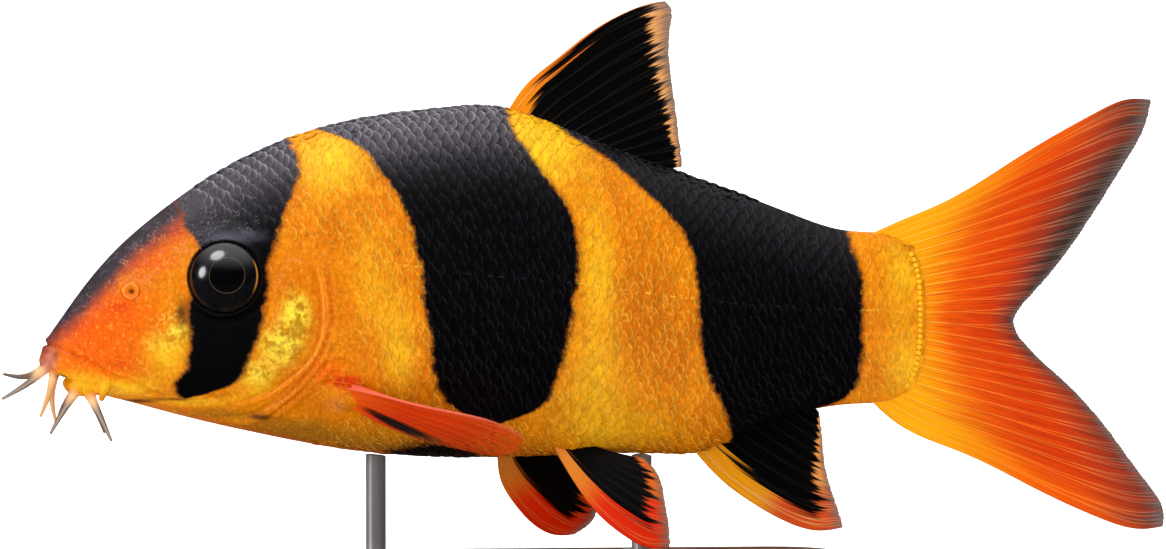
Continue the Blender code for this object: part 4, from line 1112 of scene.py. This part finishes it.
def scale_horn(colours):
    """Thin glossy horn over the skin's colours, with a painted highlight along its free edge, painted sheen
    on the scales along the back and painted shadow behind the edge of the scale before.
    """
    material, tree, shader = new_finish("scale_horn", {"Specular IOR Level": 0.07})
    base = add(tree, "Group", node_tree=colours).outputs
    place = stretched(tree, (1, 1, 1))
    black, free, ridge = base["Black"], mark(tree, "free"), mark(tree, "ridge")
    rim_highlight_on_bands = mix(tree, ridge, paint(*RIM_HIGHLIGHT_ON_BLACK), paint(*RIM_HIGHLIGHT_ON_BACK))
    pale = mix(tree, black, paint(*RIM_HIGHLIGHT_ON_ORANGE), rim_highlight_on_bands)
    scale_shadow = mix(tree, black, paint(*SCALE_SHADOW_ON_ORANGE), paint(*SCALE_SHADOW_ON_BLACK))
    colour = tinted(tree, base["Color"], ramp(tree, mark(tree, "tone"), 0.0, 1.0, 0.88, 1.1))
    # Painted sheen on the open faces of the scales on the back's black
    face = times(tree, times(tree, ridge, black), ramp(tree, free, 0.3, 0.7, 0.0, 0.15))
    colour = lay(tree, colour, face, SCALE_SHEEN_ON_BACK)
    # Painted shadow on each scale behind the free edge of the one before
    shadow_strength = calc(tree, "ADD", 0.28, times(tree, black, 0.52))
    colour = mix(tree, times(tree, ramp(tree, free, 0.6, 0.1), shadow_strength), colour, scale_shadow)
    # The pale rim, a painted highlight, broken up in patches; the lateral line after it is the fish's own
    # pale colour
    patchy = ramp(tree, noise(tree, place, 500.0, 2.0), 0.36, 0.6, 0.4, 1.0)
    colour = mix(tree, times(tree, mark(tree, "rim"), patchy), colour, pale)
    broken = ramp(tree, noise(tree, place, 600.0, 1.0), 0.4, 0.55, 0.1, 0.6)
    colour = mix(tree, times(tree, ramp(tree, mark(tree, "line"), 0.2, 0.05), broken), colour, pale)
    rough = mix(tree, black, (0.46, 0.46, 0.46, 1), (0.4, 0.4, 0.4, 1))
    dress(tree, shader, colour, rough, noise(tree, place, 2200.0, 3.0), HORN_RELIEF, 0.6)
    return material


horn = scale_horn(shared_markings)
all_roots = scale_roots()
for side_name, side in SIDES:
    for part, start, end in COATS:
        chosen = all_roots[(all_roots[:, 0] >= start) & (all_roots[:, 0] < end)]
        coat = lay_coat(f"scales_{side_name}_{part}", chosen, side, COAT_SEED + len(part) + side)
        in_metres(coat, horn)


# A row of small beads edges the tail stem where the rays of the tail fin start. They are knobs of skin
# over the ends of the ray bones, half sunk in it, and share its finish.

BEAD_ENDS = (9.4, -10.3)
BEAD_LINE = 131.9
BEAD_OVAL = 12.6  # half the height of the oval that the row follows
BEAD_COUNT = 25
BEAD_RADIUS = 0.42
BEAD_SIDES = 12


def bead_row(side):
    """The beads on one side, as a single shape. They are yellower than the skin before them."""
    turns = np.linspace(-0.5, 0.5, 9)[1:-1] * math.pi
    outline = [(BEAD_RADIUS * math.cos(t), BEAD_RADIUS * math.sin(t)) for t in turns]
    count = BEAD_SIDES * len(outline)
    bead = bridge(len(outline), BEAD_SIDES) + [range(BEAD_SIDES), range(count - BEAD_SIDES, count)]
    points, faces = [], []
    for number, z in enumerate(np.linspace(*BEAD_ENDS, BEAD_COUNT)):
        rounding = (1 - abs(z / BEAD_OVAL) ** PLATE_ROUNDNESS) ** (1 / PLATE_ROUNDNESS)
        centre, normal = skin_place((PLATE_START + (BEAD_LINE - PLATE_START) * rounding, z), side)
        points += turned_rings(centre, normal, outline, BEAD_SIDES)
        faces += [[number * count + i for i in face] for face in bead]
    points = np.concatenate(points)
    made = new_shape("beads", points, faces)
    marked = markings(points)
    marked["yellow"][:] = 1.0
    store(made, marked)
    return made


for side_name, side in SIDES:
    row = bead_row(side)
    row.name = f"scales_{side_name}_beads"
    in_metres(row, skin.data.materials[0])


# Each fin is a thin web over soft rays, which fork twice on their way to the margin and end in a fringe.
# The rays are ridges of the web on both faces. A fin is a patch between its root, its margin, its
# leading edge and its trailing edge, as in the solids, and its root is sunk in the flesh.

WEB_THICKNESS = 0.16
RAY_THICKNESS = 0.13
POINTS_PER_RAY = 24
FIRST_FORK = 0.2
SECOND_FORK = 0.1
EDGE_REACH = 2.5  # how soon the bend of a fin's edges dies out between its rays
FIN_BLACK = (4, 3, 3)
RAY_IN_BLACK = 0.014  # how far the rays show in it
RAY_IN_BLOTCH = (176, 156, 140)
RAY_IN_FRINGE = (198, 160, 134)
WEB_RELIEF = 0.00005


def fin_patch(root, margin, leading, trailing, reach=EDGE_REACH):
    """A fin's middle surface: u runs from 0 at the root to 1 at the margin, v from front to rear."""
    def at(u, v):
        u, v = np.broadcast_arrays(u, v)
        u, v = u[..., None], v[..., None]
        flat_u, flat_v = u[..., 0], v[..., 0]
        span = (1 - u) * root(flat_v) + u * margin(flat_v)
        lead = leading(flat_u) - (1 - u) * root(0.0) - u * margin(0.0)
        trail = trailing(flat_u) - (1 - u) * root(1.0) - u * margin(1.0)
        return span + (1 - v) ** reach * lead + v**reach * trail

    return at


def ray_ridges(u, cell):
    """How much of a ray there is at a place in its cell of the web, and how far out it forks."""
    first = FIRST_FORK * np.clip((u - 0.35) / 0.65, 0, 1)
    second = SECOND_FORK * np.clip((u - 0.7) / 0.3, 0, 1)
    width = 0.11 - 0.05 * np.clip((u - 0.2) / 0.7, 0, 1)
    ridge = np.zeros(np.broadcast(u, cell).shape)
    for a in (-1, 1):
        for b in (-1, 1):
            away = np.abs(cell - 0.5 - a * first - b * second)
            ridge = np.maximum(ridge, np.exp(-(away / width) ** 2))
    return ridge


def uneven_teeth(v, count, random):
    """Saw teeth of uneven width and height along a fin's margin."""
    ends = (np.arange(count + 1) + random.uniform(-0.32, 0.32, count + 1)) / count
    ends[0], ends[-1] = 0, 1
    tooth = np.clip(np.searchsorted(ends, v, side="right") - 1, 0, count - 1)
    inside = (v - ends[tooth]) / (ends[tooth + 1] - ends[tooth])
    return random.uniform(0.15, 1.3, count)[tooth] * (1 - np.abs(2 * inside - 1))


def fine_fin(name, patch, marks, rays, root_thickness, rows, seed, fringe=0.12, fineness=POINTS_PER_RAY):
    """A closed fin with forked rays. Its marks are functions of the way out and the way along."""
    random = np.random.default_rng(seed)
    v = np.linspace(0, 1, rays * fineness + 1)
    u = np.linspace(0, 1, rows + 1) ** 0.9
    grid_u, grid_v = np.meshgrid(u, v, indexing="ij")
    middle = patch(grid_u, grid_v)
    cell = (grid_v * rays) % 1.0
    ridge = ray_ridges(grid_u, cell)
    saw = 0.75 * uneven_teeth(v, int(rays * 1.7), random) + 0.4 * uneven_teeth(v, rays * 5, random)
    ragged = np.interp(v * rays * 4, np.arange(rays * 4 + 1), random.normal(0, 0.5, rays * 4 + 1))
    reach = fringe * (ridge - 0.9 + 0.7 * ragged[None, :]) * grid_u**20
    outward = np.gradient(middle, axis=0)
    outward /= np.linalg.norm(outward, axis=2, keepdims=True)
    middle = middle + outward * reach[:, :, None]
    normal = np.cross(np.gradient(middle, axis=0), np.gradient(middle, axis=1))
    normal /= np.linalg.norm(normal, axis=2, keepdims=True)
    thick = WEB_THICKNESS * (1 - 0.4 * grid_u) + RAY_THICKNESS * ridge * (1 - 0.82 * grid_u)
    thick = thick + root_thickness * np.clip(1 - grid_u / 0.3, 0, 1) ** 1.6
    lead = np.exp(-(grid_v / 0.035) ** 2) + 0.3 * np.exp(-((1 - grid_v) / 0.03) ** 2)
    thick = thick + 0.4 * lead * (1 - 0.8 * grid_u)
    thick[-1] *= 0.35
    thick[:, 0] *= 0.4
    thick[:, -1] *= 0.4
    half = 0.5 * thick[:, :, None] * normal
    points = np.concatenate([(middle + half).reshape(-1, 3), (middle - half).reshape(-1, 3)])
    tall, wide = grid_u.shape
    index = np.arange(tall * wide).reshape(tall, wide)
    quads = np.stack([index[:-1, :-1], index[:-1, 1:], index[1:, 1:], index[1:, :-1]], axis=-1).reshape(-1, 4)
    border = np.concatenate([index[0], index[1:, -1], index[-1, -2::-1], index[-2:0:-1, 0]])
    next_one = np.roll(border, -1)
    sides = np.stack([border, border + tall * wide, next_one + tall * wide, next_one], axis=-1)
    faces = np.concatenate([quads, quads[:, ::-1] + tall * wide, sides])
    made = new_shape(name, points, faces.tolist())
    values = {"out": grid_u, "along": grid_v, "ray": ridge, "saw": np.broadcast_to(saw, grid_u.shape)}
    values["warm"] = grid_u - 0.22
    values.update({key: rule(grid_u, grid_v) for key, rule in marks.items()})
    store(made, {key: np.tile(value.ravel(), 2) for key, value in values.items()})
    return made


def fin_streaks():
    """The group that breaks a fin's colour borders into streaks along its rays."""
    tree, given, out = new_group("fin_streaks", {"Mask": "Float", "Reach": "Float", "Soft": "Float"},
                                 {"Mask": "Float"})
    where = add(tree, "CombineXYZ", {0: times(tree, mark(tree, "along"), 150.0),
                                     1: times(tree, mark(tree, "out"), 2.5)}).outputs[0]
    streak = calc(tree, "SUBTRACT", noise(tree, where, 1.0, 2.0), 0.5)
    streaked = calc(tree, "ADD", given["Mask"], times(tree, streak, given["Reach"]))
    soft = given["Soft"]
    tree.links.new(ramp(tree, streaked, times(tree, soft, -1.0), soft), out["Mask"])
    return tree


streak_group = fin_streaks()


def web(name, root, middle, outer, dark, fringe, ray, ray_strength=0.5, clear=0.2, clear_from=0.92,
        spread=0.5, soft=0.1, teeth=0.5, dark_ray=0.12, root_ray=None):
    """Thin wet web, coloured from root to margin, with its dark blotch, its fringe and paler rays."""
    material, tree, shader = new_finish(name, {"Specular IOR Level": 0.08})

    def streaked(value, reach, softness):
        return add(tree, "Group", {"Mask": value, "Reach": reach, "Soft": softness},
                   node_tree=streak_group).outputs["Mask"]

    outward = mark(tree, "out")
    rays = ramp(tree, mark(tree, "ray"), 0.62, 1.0)
    colour = mix(tree, streaked(mark(tree, "warm"), 0.3, 0.25), paint(*root), paint(*middle))
    blush = streaked(calc(tree, "SUBTRACT", mark(tree, "blush"), 0.5), 0.6, 0.4)
    colour = lay(tree, colour, blush, outer)
    ray_colour = mix(tree, ramp(tree, outward, 0.08, 0.4), paint(*(root_ray or ray)), paint(*ray))
    colour = mix(tree, times(tree, rays, ray_strength), colour, ray_colour)
    lines = add(tree, "CombineXYZ", {0: times(tree, mark(tree, "along"), 460.0),
                                     1: times(tree, outward, 4.0)}).outputs[0]
    colour = tinted(tree, colour, ramp(tree, noise(tree, lines, 1.0, 2.0), 0.3, 0.7, 0.8, 1.16))
    spikes = times(tree, calc(tree, "SUBTRACT", mark(tree, "saw"), 0.4), teeth)
    blotch = streaked(calc(tree, "ADD", mark(tree, "dark"), spikes), spread, soft)
    blotch_colour = mix(tree, times(tree, rays, dark_ray), paint(*dark), paint(*RAY_IN_BLOTCH))
    colour = mix(tree, blotch, colour, blotch_colour)
    edge = streaked(mark(tree, "fringe"), 0.9, 0.25)
    edge_colour = mix(tree, times(tree, rays, 0.5), paint(*fringe), paint(*RAY_IN_FRINGE))
    colour = mix(tree, times(tree, edge, 0.9), colour, edge_colour)
    fine = noise(tree, stretched(tree, (1, 1, 1)), 2600.0, 2.0)
    relief = calc(tree, "ADD", fine, mark(tree, "ray"))
    dress(tree, shader, colour, ramp(tree, fine, 0.3, 0.7, 0.42, 0.56), relief, WEB_RELIEF, 0.5)
    thin = times(tree, ramp(tree, outward, clear_from, 1.0), calc(tree, "SUBTRACT", 1.0, rays))
    alpha = calc(tree, "SUBTRACT", 1.0, times(tree, thin, clear))
    tree.links.new(alpha, shader.inputs["Alpha"])
    return material


def flat(points):
    """Places (x, z) of the middle plane as (x, y, z)."""
    return [(x, 0, z) for x, z in points]


def on_side(points, side):
    return [(x, side * y, z) for x, y, z in points]


def line_under(line, start, end, sunk):
    """The root of a fin that stands on the back or the belly line, sunk in the flesh."""
    return path([(x, 0, float(line(x)) - sunk) for x in np.linspace(start, end, 6)])


# The dorsal fin stands on the back. It is black in a frame of orange, with pale rays, and its front
# edge grows from a fleshy orange foot.

dorsal_root = line_under(back_line, 69.6, 89.8, 1.0)
dorsal_patch = fin_patch(
    dorsal_root,
    path(flat([(93.6, 47.5), (94.5, 46.2), (94.4, 44), (94.2, 38.6), (94.9, 33), (95.6, 27.8),
               (96.2, 22.6)])),
    path([dorsal_root(0.0)] + flat([(72.7, 35.1), (77, 38.7), (81.5, 42.3), (87.5, 45.8), (91.5, 47.2),
                                    (93.6, 47.5)])),
    path([dorsal_root(1.0)] + flat([(93, 22.4), (96.2, 22.6)])), reach=4.0)
dorsal_marks = {
    "blush": lambda u, v: (u - 0.7) * 6,
    "dark": lambda u, v: np.minimum((v - 0.022 - 0.12 * np.exp(-u / 0.17)) * 7
                                    + np.clip((u - 0.45) * 1.3, 0, 0.34), (0.9 - u) * 4),
    "fringe": lambda u, v: (u - 0.93) * 4,
}
dorsal = fine_fin("dorsal_web", dorsal_patch, dorsal_marks, rays=12, root_thickness=1.4, rows=60, seed=21)
dorsal_finish = web("dorsal_web", root=(248, 146, 8), middle=(226, 108, 20), outer=(234, 160, 92),
                    dark=FIN_BLACK, fringe=(104, 88, 80), ray=(244, 176, 110), dark_ray=RAY_IN_BLACK,
                    teeth=0.75)
in_metres(dorsal, dorsal_finish)
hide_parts("dorsal_fin")


# The anal fin hangs behind the belly. Its front is yellow, its tip red, and a black blotch fills the rest
# up to an orange fringe.

anal_root = line_under(belly_line, 97.4, 115.6, -1.0)
anal_patch = fin_patch(
    anal_root,
    path(flat([(120.6, -31.8), (119.9, -29.4), (118.6, -25.6), (117.7, -22), (117.4, -18.8),
               (116.9, -14.4)])),
    path([anal_root(0.0)] + flat([(102, -24.5), (107, -28.2), (112.3, -31.1), (117, -32.3),
                                  (120.6, -31.8)])),
    path([anal_root(1.0)] + flat([(116.4, -13.9), (116.9, -14.4)])), reach=3.5)
anal_marks = {
    "warm": lambda u, v: u - 0.6 + np.maximum(v - 0.12, 0),
    "blush": lambda u, v: 0.5 + (u - 0.56) * 4 - np.maximum(v - 0.16, 0) * 9,
    "dark": lambda u, v: np.minimum((v - 0.2 + 0.16 * u) * 5, (0.88 - u) * 3.4),
    "fringe": lambda u, v: (u - 0.95) * 4,
}
anal = fine_fin("anal_web", anal_patch, anal_marks, rays=9, root_thickness=1.2, rows=56, seed=22)
anal_finish = web("anal_web", root=(244, 158, 12), middle=(236, 150, 70), outer=(226, 84, 30),
                  dark=FIN_BLACK, fringe=(112, 96, 84), ray=(246, 184, 116), dark_ray=RAY_IN_BLACK, teeth=0.6)
in_metres(anal, anal_finish)
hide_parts("anal_fin")


# The tail fin wraps the rounded end of the tail stem and forks into two lobes. It is yellow at its root
# and red in its lobes, and it darkens to grey at the margin, where the pale rays stand out.

TAIL_ROOT_REACH = STANDARD_LENGTH - PLATE_START - 0.8
TAIL_ROOT_HEIGHT = 12.2
tail_bend = 2 / PLATE_ROUNDNESS
tail_root = path([(PLATE_START + TAIL_ROOT_REACH * abs(math.cos(t)) ** tail_bend, 0,
                   TAIL_ROOT_HEIGHT * math.copysign(abs(math.sin(t)) ** tail_bend, t))
                  for t in np.linspace(0.5, -0.5, 15) * math.pi])
tail_patch = fin_patch(
    tail_root,
    path(flat([(167.3, 32.6), (166.6, 29.5), (162.8, 22.3), (158.2, 15), (153.1, 7.8), (148.4, 2.4),
               (146.5, -0.6), (148.6, -4.7), (154.6, -10.3), (161.1, -17.6), (166.6, -25), (169.4, -30),
               (169.3, -32)])),
    path([tail_root(0.0)] + flat([(129, 14.4), (135.2, 17), (147.2, 24.1), (159.4, 31), (163.8, 32.7),
                                  (167.3, 32.6)])),
    path([tail_root(1.0)] + flat([(129, -16.4), (138.2, -20.5), (150.4, -26.5), (159.6, -30.7),
                                  (166.5, -32.4), (169.3, -32)])), reach=9.0)
tail_marks = {
    "warm": lambda u, v: u - 0.1 - 0.3 * np.exp(-(np.minimum(v, 1 - v) / 0.2) ** 2),
    "blush": lambda u, v: u * 1.25 + 0.02 - 0.6 * np.exp(-(np.minimum(v, 1 - v) / 0.06) ** 2),
    "dark": lambda u, v: (u - 0.9 + 0.17 * np.exp(-((v - 0.27) / 0.2) ** 2)) * 3.4,
    "fringe": lambda u, v: (u - 0.99) * 4,
}
tail = fine_fin("tail_web", tail_patch, tail_marks, rays=26, root_thickness=1.2, rows=84, seed=23,
                fringe=0.1, fineness=20)
tail_finish = web("tail_web", root=(252, 168, 6), middle=(236, 90, 1), outer=(206, 56, 1), dark=(58, 44, 38),
                  fringe=(82, 72, 70), ray=(252, 138, 44), spread=0.9, soft=0.7, teeth=0.1, dark_ray=0.3,
                  root_ray=(255, 210, 84))
in_metres(tail, tail_finish)
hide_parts("tail_fin_upper", "tail_fin_lower")


# The pectoral fins spread low behind the gill covers. They are red with a pale leading ray, a dark
# blotch underneath and a clear rear end.

PECTORAL_EDGES = {
    "root": [(44.6, 10.0, -9.2), (46.0, 8.8, -12.6)],
    "margin": [(70.3, 23, -16), (70.2, 22, -17.6), (68.6, 20, -19.1), (63, 16, -18.9), (56, 13.2, -17.4),
               (51.4, 11.6, -15.7)],
    "leading": [(48.8, 13.6, -10.2), (52.6, 16, -11.2), (61.2, 20, -12.9), (67, 22, -14.4), (70.3, 23, -16)],
    "trailing": [(48.4, 10.4, -14.2), (51.4, 11.6, -15.7)],
}
pectoral_marks = {
    "blush": lambda u, v: 0.2 + u * 0.6,
    "dark": lambda u, v: 0.6 - np.hypot((u - 0.58) / 0.62, (v - 0.7) / 0.26),
    "fringe": lambda u, v: (0.018 - v) * 30,
}


def paired_patch(edges, side):
    """A paired fin's middle surface on one side, from its four edges on the right."""
    root = path(on_side(edges["root"], side))
    return fin_patch(root, path(on_side(edges["margin"], side)),
                     path([root(0.0)] + on_side(edges["leading"], side)),
                     path([root(1.0)] + on_side(edges["trailing"], side)))


for side_name, side in SIDES:
    title = f"pectoral_web_{side_name}"
    pectoral = fine_fin(title, paired_patch(PECTORAL_EDGES, side), pectoral_marks, rays=11,
                        root_thickness=1.3, rows=60, seed=24 + side)
    finish = web(title, root=(246, 100, 10), middle=(228, 52, 4), outer=(206, 60, 8), dark=(26, 6, 4),
                 fringe=(236, 106, 76), ray=(240, 104, 44), ray_strength=0.35, clear=0.75, clear_from=0.6)
    in_metres(pectoral, finish)
    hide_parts(f"pectoral_fin_{side_name}")


# The pelvic fins hang under the belly, the left one swept back and the right one lower and further
# forward. They are black with a red front edge and an orange fringe.

PELVIC_EDGES = {
    "left": {
        "root": [(76.2, 3.4, -18.8), (81.2, 3.0, -18.7)],
        "leading": [(79.6, 5.6, -24.7), (83.0, 7.3, -29.2), (86.8, 8.3, -32.3), (90.5, 8.9, -34.0),
                    (93.4, 9.2, -33.9)],
        "margin": [(93.4, 9.2, -33.9), (93.3, 9.2, -31), (92.7, 8.7, -27.0), (91.8, 7.8, -23.2),
                   (89.8, 6.6, -20.7)],
        "trailing": [(85.4, 4.6, -19.9), (89.8, 6.6, -20.7)]},
    "right": {
        "root": [(68.6, 3.4, -18.9), (73.4, 3.0, -18.9)],
        "leading": [(69.2, 6, -24.8), (71.4, 7.5, -28.5), (75, 9, -32.2), (78, 10, -33.5), (80.8, 10, -33.4)],
        "margin": [(80.8, 10, -33.4), (83.2, 9.6, -31.6), (84.2, 9.3, -29.6), (82.9, 8.7, -26.6),
                   (80.2, 7.0, -22.6)],
        "trailing": [(77, 4.8, -20.6), (80.2, 7.0, -22.6)]},
}
PELVIC_MIDDLE = {"left": (226, 104, 16), "right": (250, 122, 20)}
PELVIC_OUTER = {"left": (232, 40, 2), "right": (255, 48, 2)}
pelvic_marks = {
    "warm": lambda u, v: u - 0.3,
    "blush": lambda u, v: 0.5 + (u - 0.42) * 3.2 - np.maximum(v - 0.26, 0) * 7,
    "dark": lambda u, v: np.minimum.reduce([(v - 0.25 + 0.08 * u) * 5, (0.86 - u) * 3.4, (u + 0.02) * 8]),
    "fringe": lambda u, v: (u - 0.95) * 4,
}

for side_name, side in SIDES:
    title = f"pelvic_web_{side_name}"
    pelvic = fine_fin(title, paired_patch(PELVIC_EDGES[side_name], side), pelvic_marks, rays=9,
                      root_thickness=1.2, rows=50, seed=31 + side)
    finish = web(title, root=(244, 150, 52), middle=PELVIC_MIDDLE[side_name], outer=PELVIC_OUTER[side_name],
                 dark=FIN_BLACK, fringe=(112, 96, 74), ray=(244, 150, 80), ray_strength=0.3,
                 dark_ray=RAY_IN_BLACK, teeth=0.6)
    in_metres(pelvic, finish)
    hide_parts(f"pelvic_fin_{side_name}")


# The eyes are separate balls held close in their sockets, black and wet, with a hair-thin gold ring round
# the pupil and a gold glint at the rear rim.

PUPIL_RADIUS = 2.6
PUPIL_BACK = 0.75  # how far behind the middle of the eye the pupil looks from
BALL_SLACK = 0.06
BALL_RAISED = 0.3
IRIS_DARK = (3, 3, 5)
IRIS_LIGHT = (11, 12, 17)
PUPIL_BLACK = (0, 0, 0)
PUPIL_RING = (120, 92, 56)
GLINT_RADIUS = 5.0
GLINT_GOLD = (196, 128, 48)


def eye_ball(name, centre, axis):
    """The dark ball, with each point's distance from the middle of the pupil."""
    wide = EYE_RADIUS - BALL_SLACK
    tall = EYE_DEPTH - BALL_SLACK
    outline = [(0.02, -tall)]
    outline += [(wide * math.cos(t), tall * math.sin(t)) for t in np.linspace(-0.47, 0.0, 10) * math.pi]
    outline += [(wide * math.cos(t), tall * math.sin(t)) for t in np.linspace(0.01, 0.497, 44) * math.pi]
    rings = turned_rings(centre, axis, outline, 128)
    made = closed_rings(name, rings)
    spots = np.concatenate(rings)
    offset = spots - centre
    radial = offset - (offset @ axis)[:, None] * axis
    reach = np.linalg.norm(radial, axis=1)
    from_pupil = np.linalg.norm(radial - (PUPIL_BACK, 0, 0), axis=1)
    store(made, {"reach": reach, "pupil": from_pupil, "rearward": radial[:, 0] / np.maximum(reach, 0.01)})
    return made


def eye_dark():
    """The black iris and pupil under a clear wet cornea, which is the shader's own coat."""
    material, tree, shader = new_finish("eye_dark", {"Specular IOR Level": 0.2, "Coat Weight": 0.8,
                                                     "Coat Roughness": 0.14})
    pupil = mark(tree, "pupil")
    mottle = noise(tree, stretched(tree, (1, 1, 1)), 900.0, 3.0)
    iris = mix(tree, ramp(tree, mottle, 0.35, 0.7), paint(*IRIS_DARK), paint(*IRIS_LIGHT))
    colour = lay(tree, iris, ramp(tree, pupil, PUPIL_RADIUS + 0.05, PUPIL_RADIUS - 0.05), PUPIL_BLACK)
    pupil_line = ramp(tree, apart(tree, pupil, PUPIL_RADIUS + 0.04), 0.08, 0.02)
    colour = lay(tree, colour, pupil_line, PUPIL_RING, 0.42)
    arc = ramp(tree, apart(tree, mark(tree, "reach"), GLINT_RADIUS), 0.16, 0.03)
    glint = times(tree, arc, ramp(tree, mark(tree, "rearward"), 0.82, 0.98))
    colour = lay(tree, colour, glint, GLINT_GOLD)
    dress(tree, shader, colour, ramp(tree, mottle, 0.3, 0.7, 0.14, 0.2))
    return material


ball_finish = eye_dark()
for side_name, side in SIDES:
    eye_centre, eye_axis = skin_place(EYE_PLACE, side, BALL_RAISED - EYE_SUNK)
    ball = eye_ball(f"eyeball_{side_name}", eye_centre, eye_axis)
    in_metres(ball, ball_finish)
    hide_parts(f"eye_{side_name}")


# The stage is a wide pale floor under an even soft light from overhead and from both sides. Two round
# windows ahead of the fish on its left show only in its highlights. The camera looks at its left side
# from a metre away.

CAMERA_TURN = -5.0
CAMERA_RISE = 2.5
CAMERA_DISTANCE = 1.0
CAMERA_TARGET = Vector((0.01115, 0.0, 0.0515))
PICTURE_WIDTH = 0.1749  # what the picture's width takes in at the target
SENSOR = 36.0
FLOOR_REACH = 40.0
SOFTEST = math.radians(80)
SOFT = math.radians(60)


def new_floor():
    """A wide pale floor. It throws back less light than it shows, as a floor well below the fish would."""
    mesh = bpy.data.meshes.new("floor")
    corners = [(x * FLOOR_REACH, y * FLOOR_REACH, 0) for x, y in ((-1, -1), (1, -1), (1, 1), (-1, 1))]
    mesh.from_pydata(corners, [], [(0, 1, 2, 3)])
    floor = bpy.data.objects.new("floor", mesh)
    bpy.context.scene.collection.objects.link(floor)
    material, tree, shader = new_finish("pale_floor", {"Specular IOR Level": 0.0, "Emission Strength": 0.45})
    dust = noise(tree, stretched(tree, (1, 1, 1)), 30.0, 4.0)
    rays = add(tree, "LightPath").outputs
    seen = rays["Is Camera Ray"]
    pale = mix(tree, dust, (0.93, 0.93, 0.93, 1), (0.96, 0.96, 0.96, 1))
    thrown = mix(tree, rays["Is Glossy Ray"], (0.9, 0.9, 0.9, 1), (0.04, 0.04, 0.04, 1))
    dress(tree, shader, mix(tree, seen, thrown, pale), ramp(tree, dust, 0, 1, 0.7, 0.8))
    tree.links.new(mix(tree, seen, (0, 0, 0, 1), (1, 1, 1, 1)), shader.inputs["Emission Color"])
    mesh.materials.append(material)


def new_lamp(name, kind, place, energy, size, mirrored):
    """A soft lamp aimed at the fish, which either lights it or only shows in its highlights."""
    light = bpy.data.lights.new(name, kind)
    light.energy = energy
    if kind == "AREA":
        light.shape, light.size = "DISK", size
    else:
        light.angle = size
    lamp = bpy.data.objects.new(name, light)
    bpy.context.scene.collection.objects.link(lamp)
    lamp.location = place
    lamp.rotation_euler = (CAMERA_TARGET - Vector(place)).to_track_quat("-Z", "Y").to_euler()
    lamp.visible_glossy = mirrored
    lamp.visible_diffuse = not mirrored


def new_camera():
    turn, rise = math.radians(CAMERA_TURN), math.radians(CAMERA_RISE)
    back = Vector((math.sin(turn) * math.cos(rise), -math.cos(turn) * math.cos(rise), math.sin(rise)))
    camera = bpy.data.objects.new("camera", bpy.data.cameras.new("camera"))
    bpy.context.scene.collection.objects.link(camera)
    camera.location = CAMERA_TARGET + back * CAMERA_DISTANCE
    camera.rotation_euler = (-back).to_track_quat("-Z", "Y").to_euler()
    camera.data.sensor_width = SENSOR
    camera.data.lens = SENSOR * CAMERA_DISTANCE / PICTURE_WIDTH
    camera.data.clip_start, camera.data.clip_end = 0.01, 200.0
    bpy.context.scene.camera = camera


def new_sky():
    """The studio's walls, dim at the fish's height and bright overhead."""
    world = bpy.data.worlds.new("studio")
    world.use_nodes = True
    tree = world.node_tree
    height = add(tree, "SeparateXYZ", {0: add(tree, "TexCoord").outputs["Generated"]}).outputs[2]
    sky = tree.nodes["Background"].inputs
    sky["Color"].default_value = (1, 1, 1, 1)
    tree.links.new(ramp(tree, height, 0.4, 1.0, 0.03, 1.5), sky["Strength"])
    bpy.context.scene.world = world


new_floor()
new_lamp("overhead", "SUN", (-0.7, 0.2, 2.0), 1.15, SOFTEST, mirrored=False)
new_lamp("front", "SUN", (-0.5, -1.5, 0.6), 1.5, SOFT, mirrored=False)
new_lamp("rear", "SUN", (0.5, 1.5, 0.6), 1.5, SOFT, mirrored=False)
new_lamp("high_window", "AREA", (-0.65, -0.46, 1.32), 12.0, 0.7, mirrored=True)
new_lamp("low_window", "AREA", (-1.34, -0.46, 0.5), 8.0, 0.5, mirrored=True)
new_camera()
new_sky()
bpy.context.scene.view_settings.view_transform = "Standard"
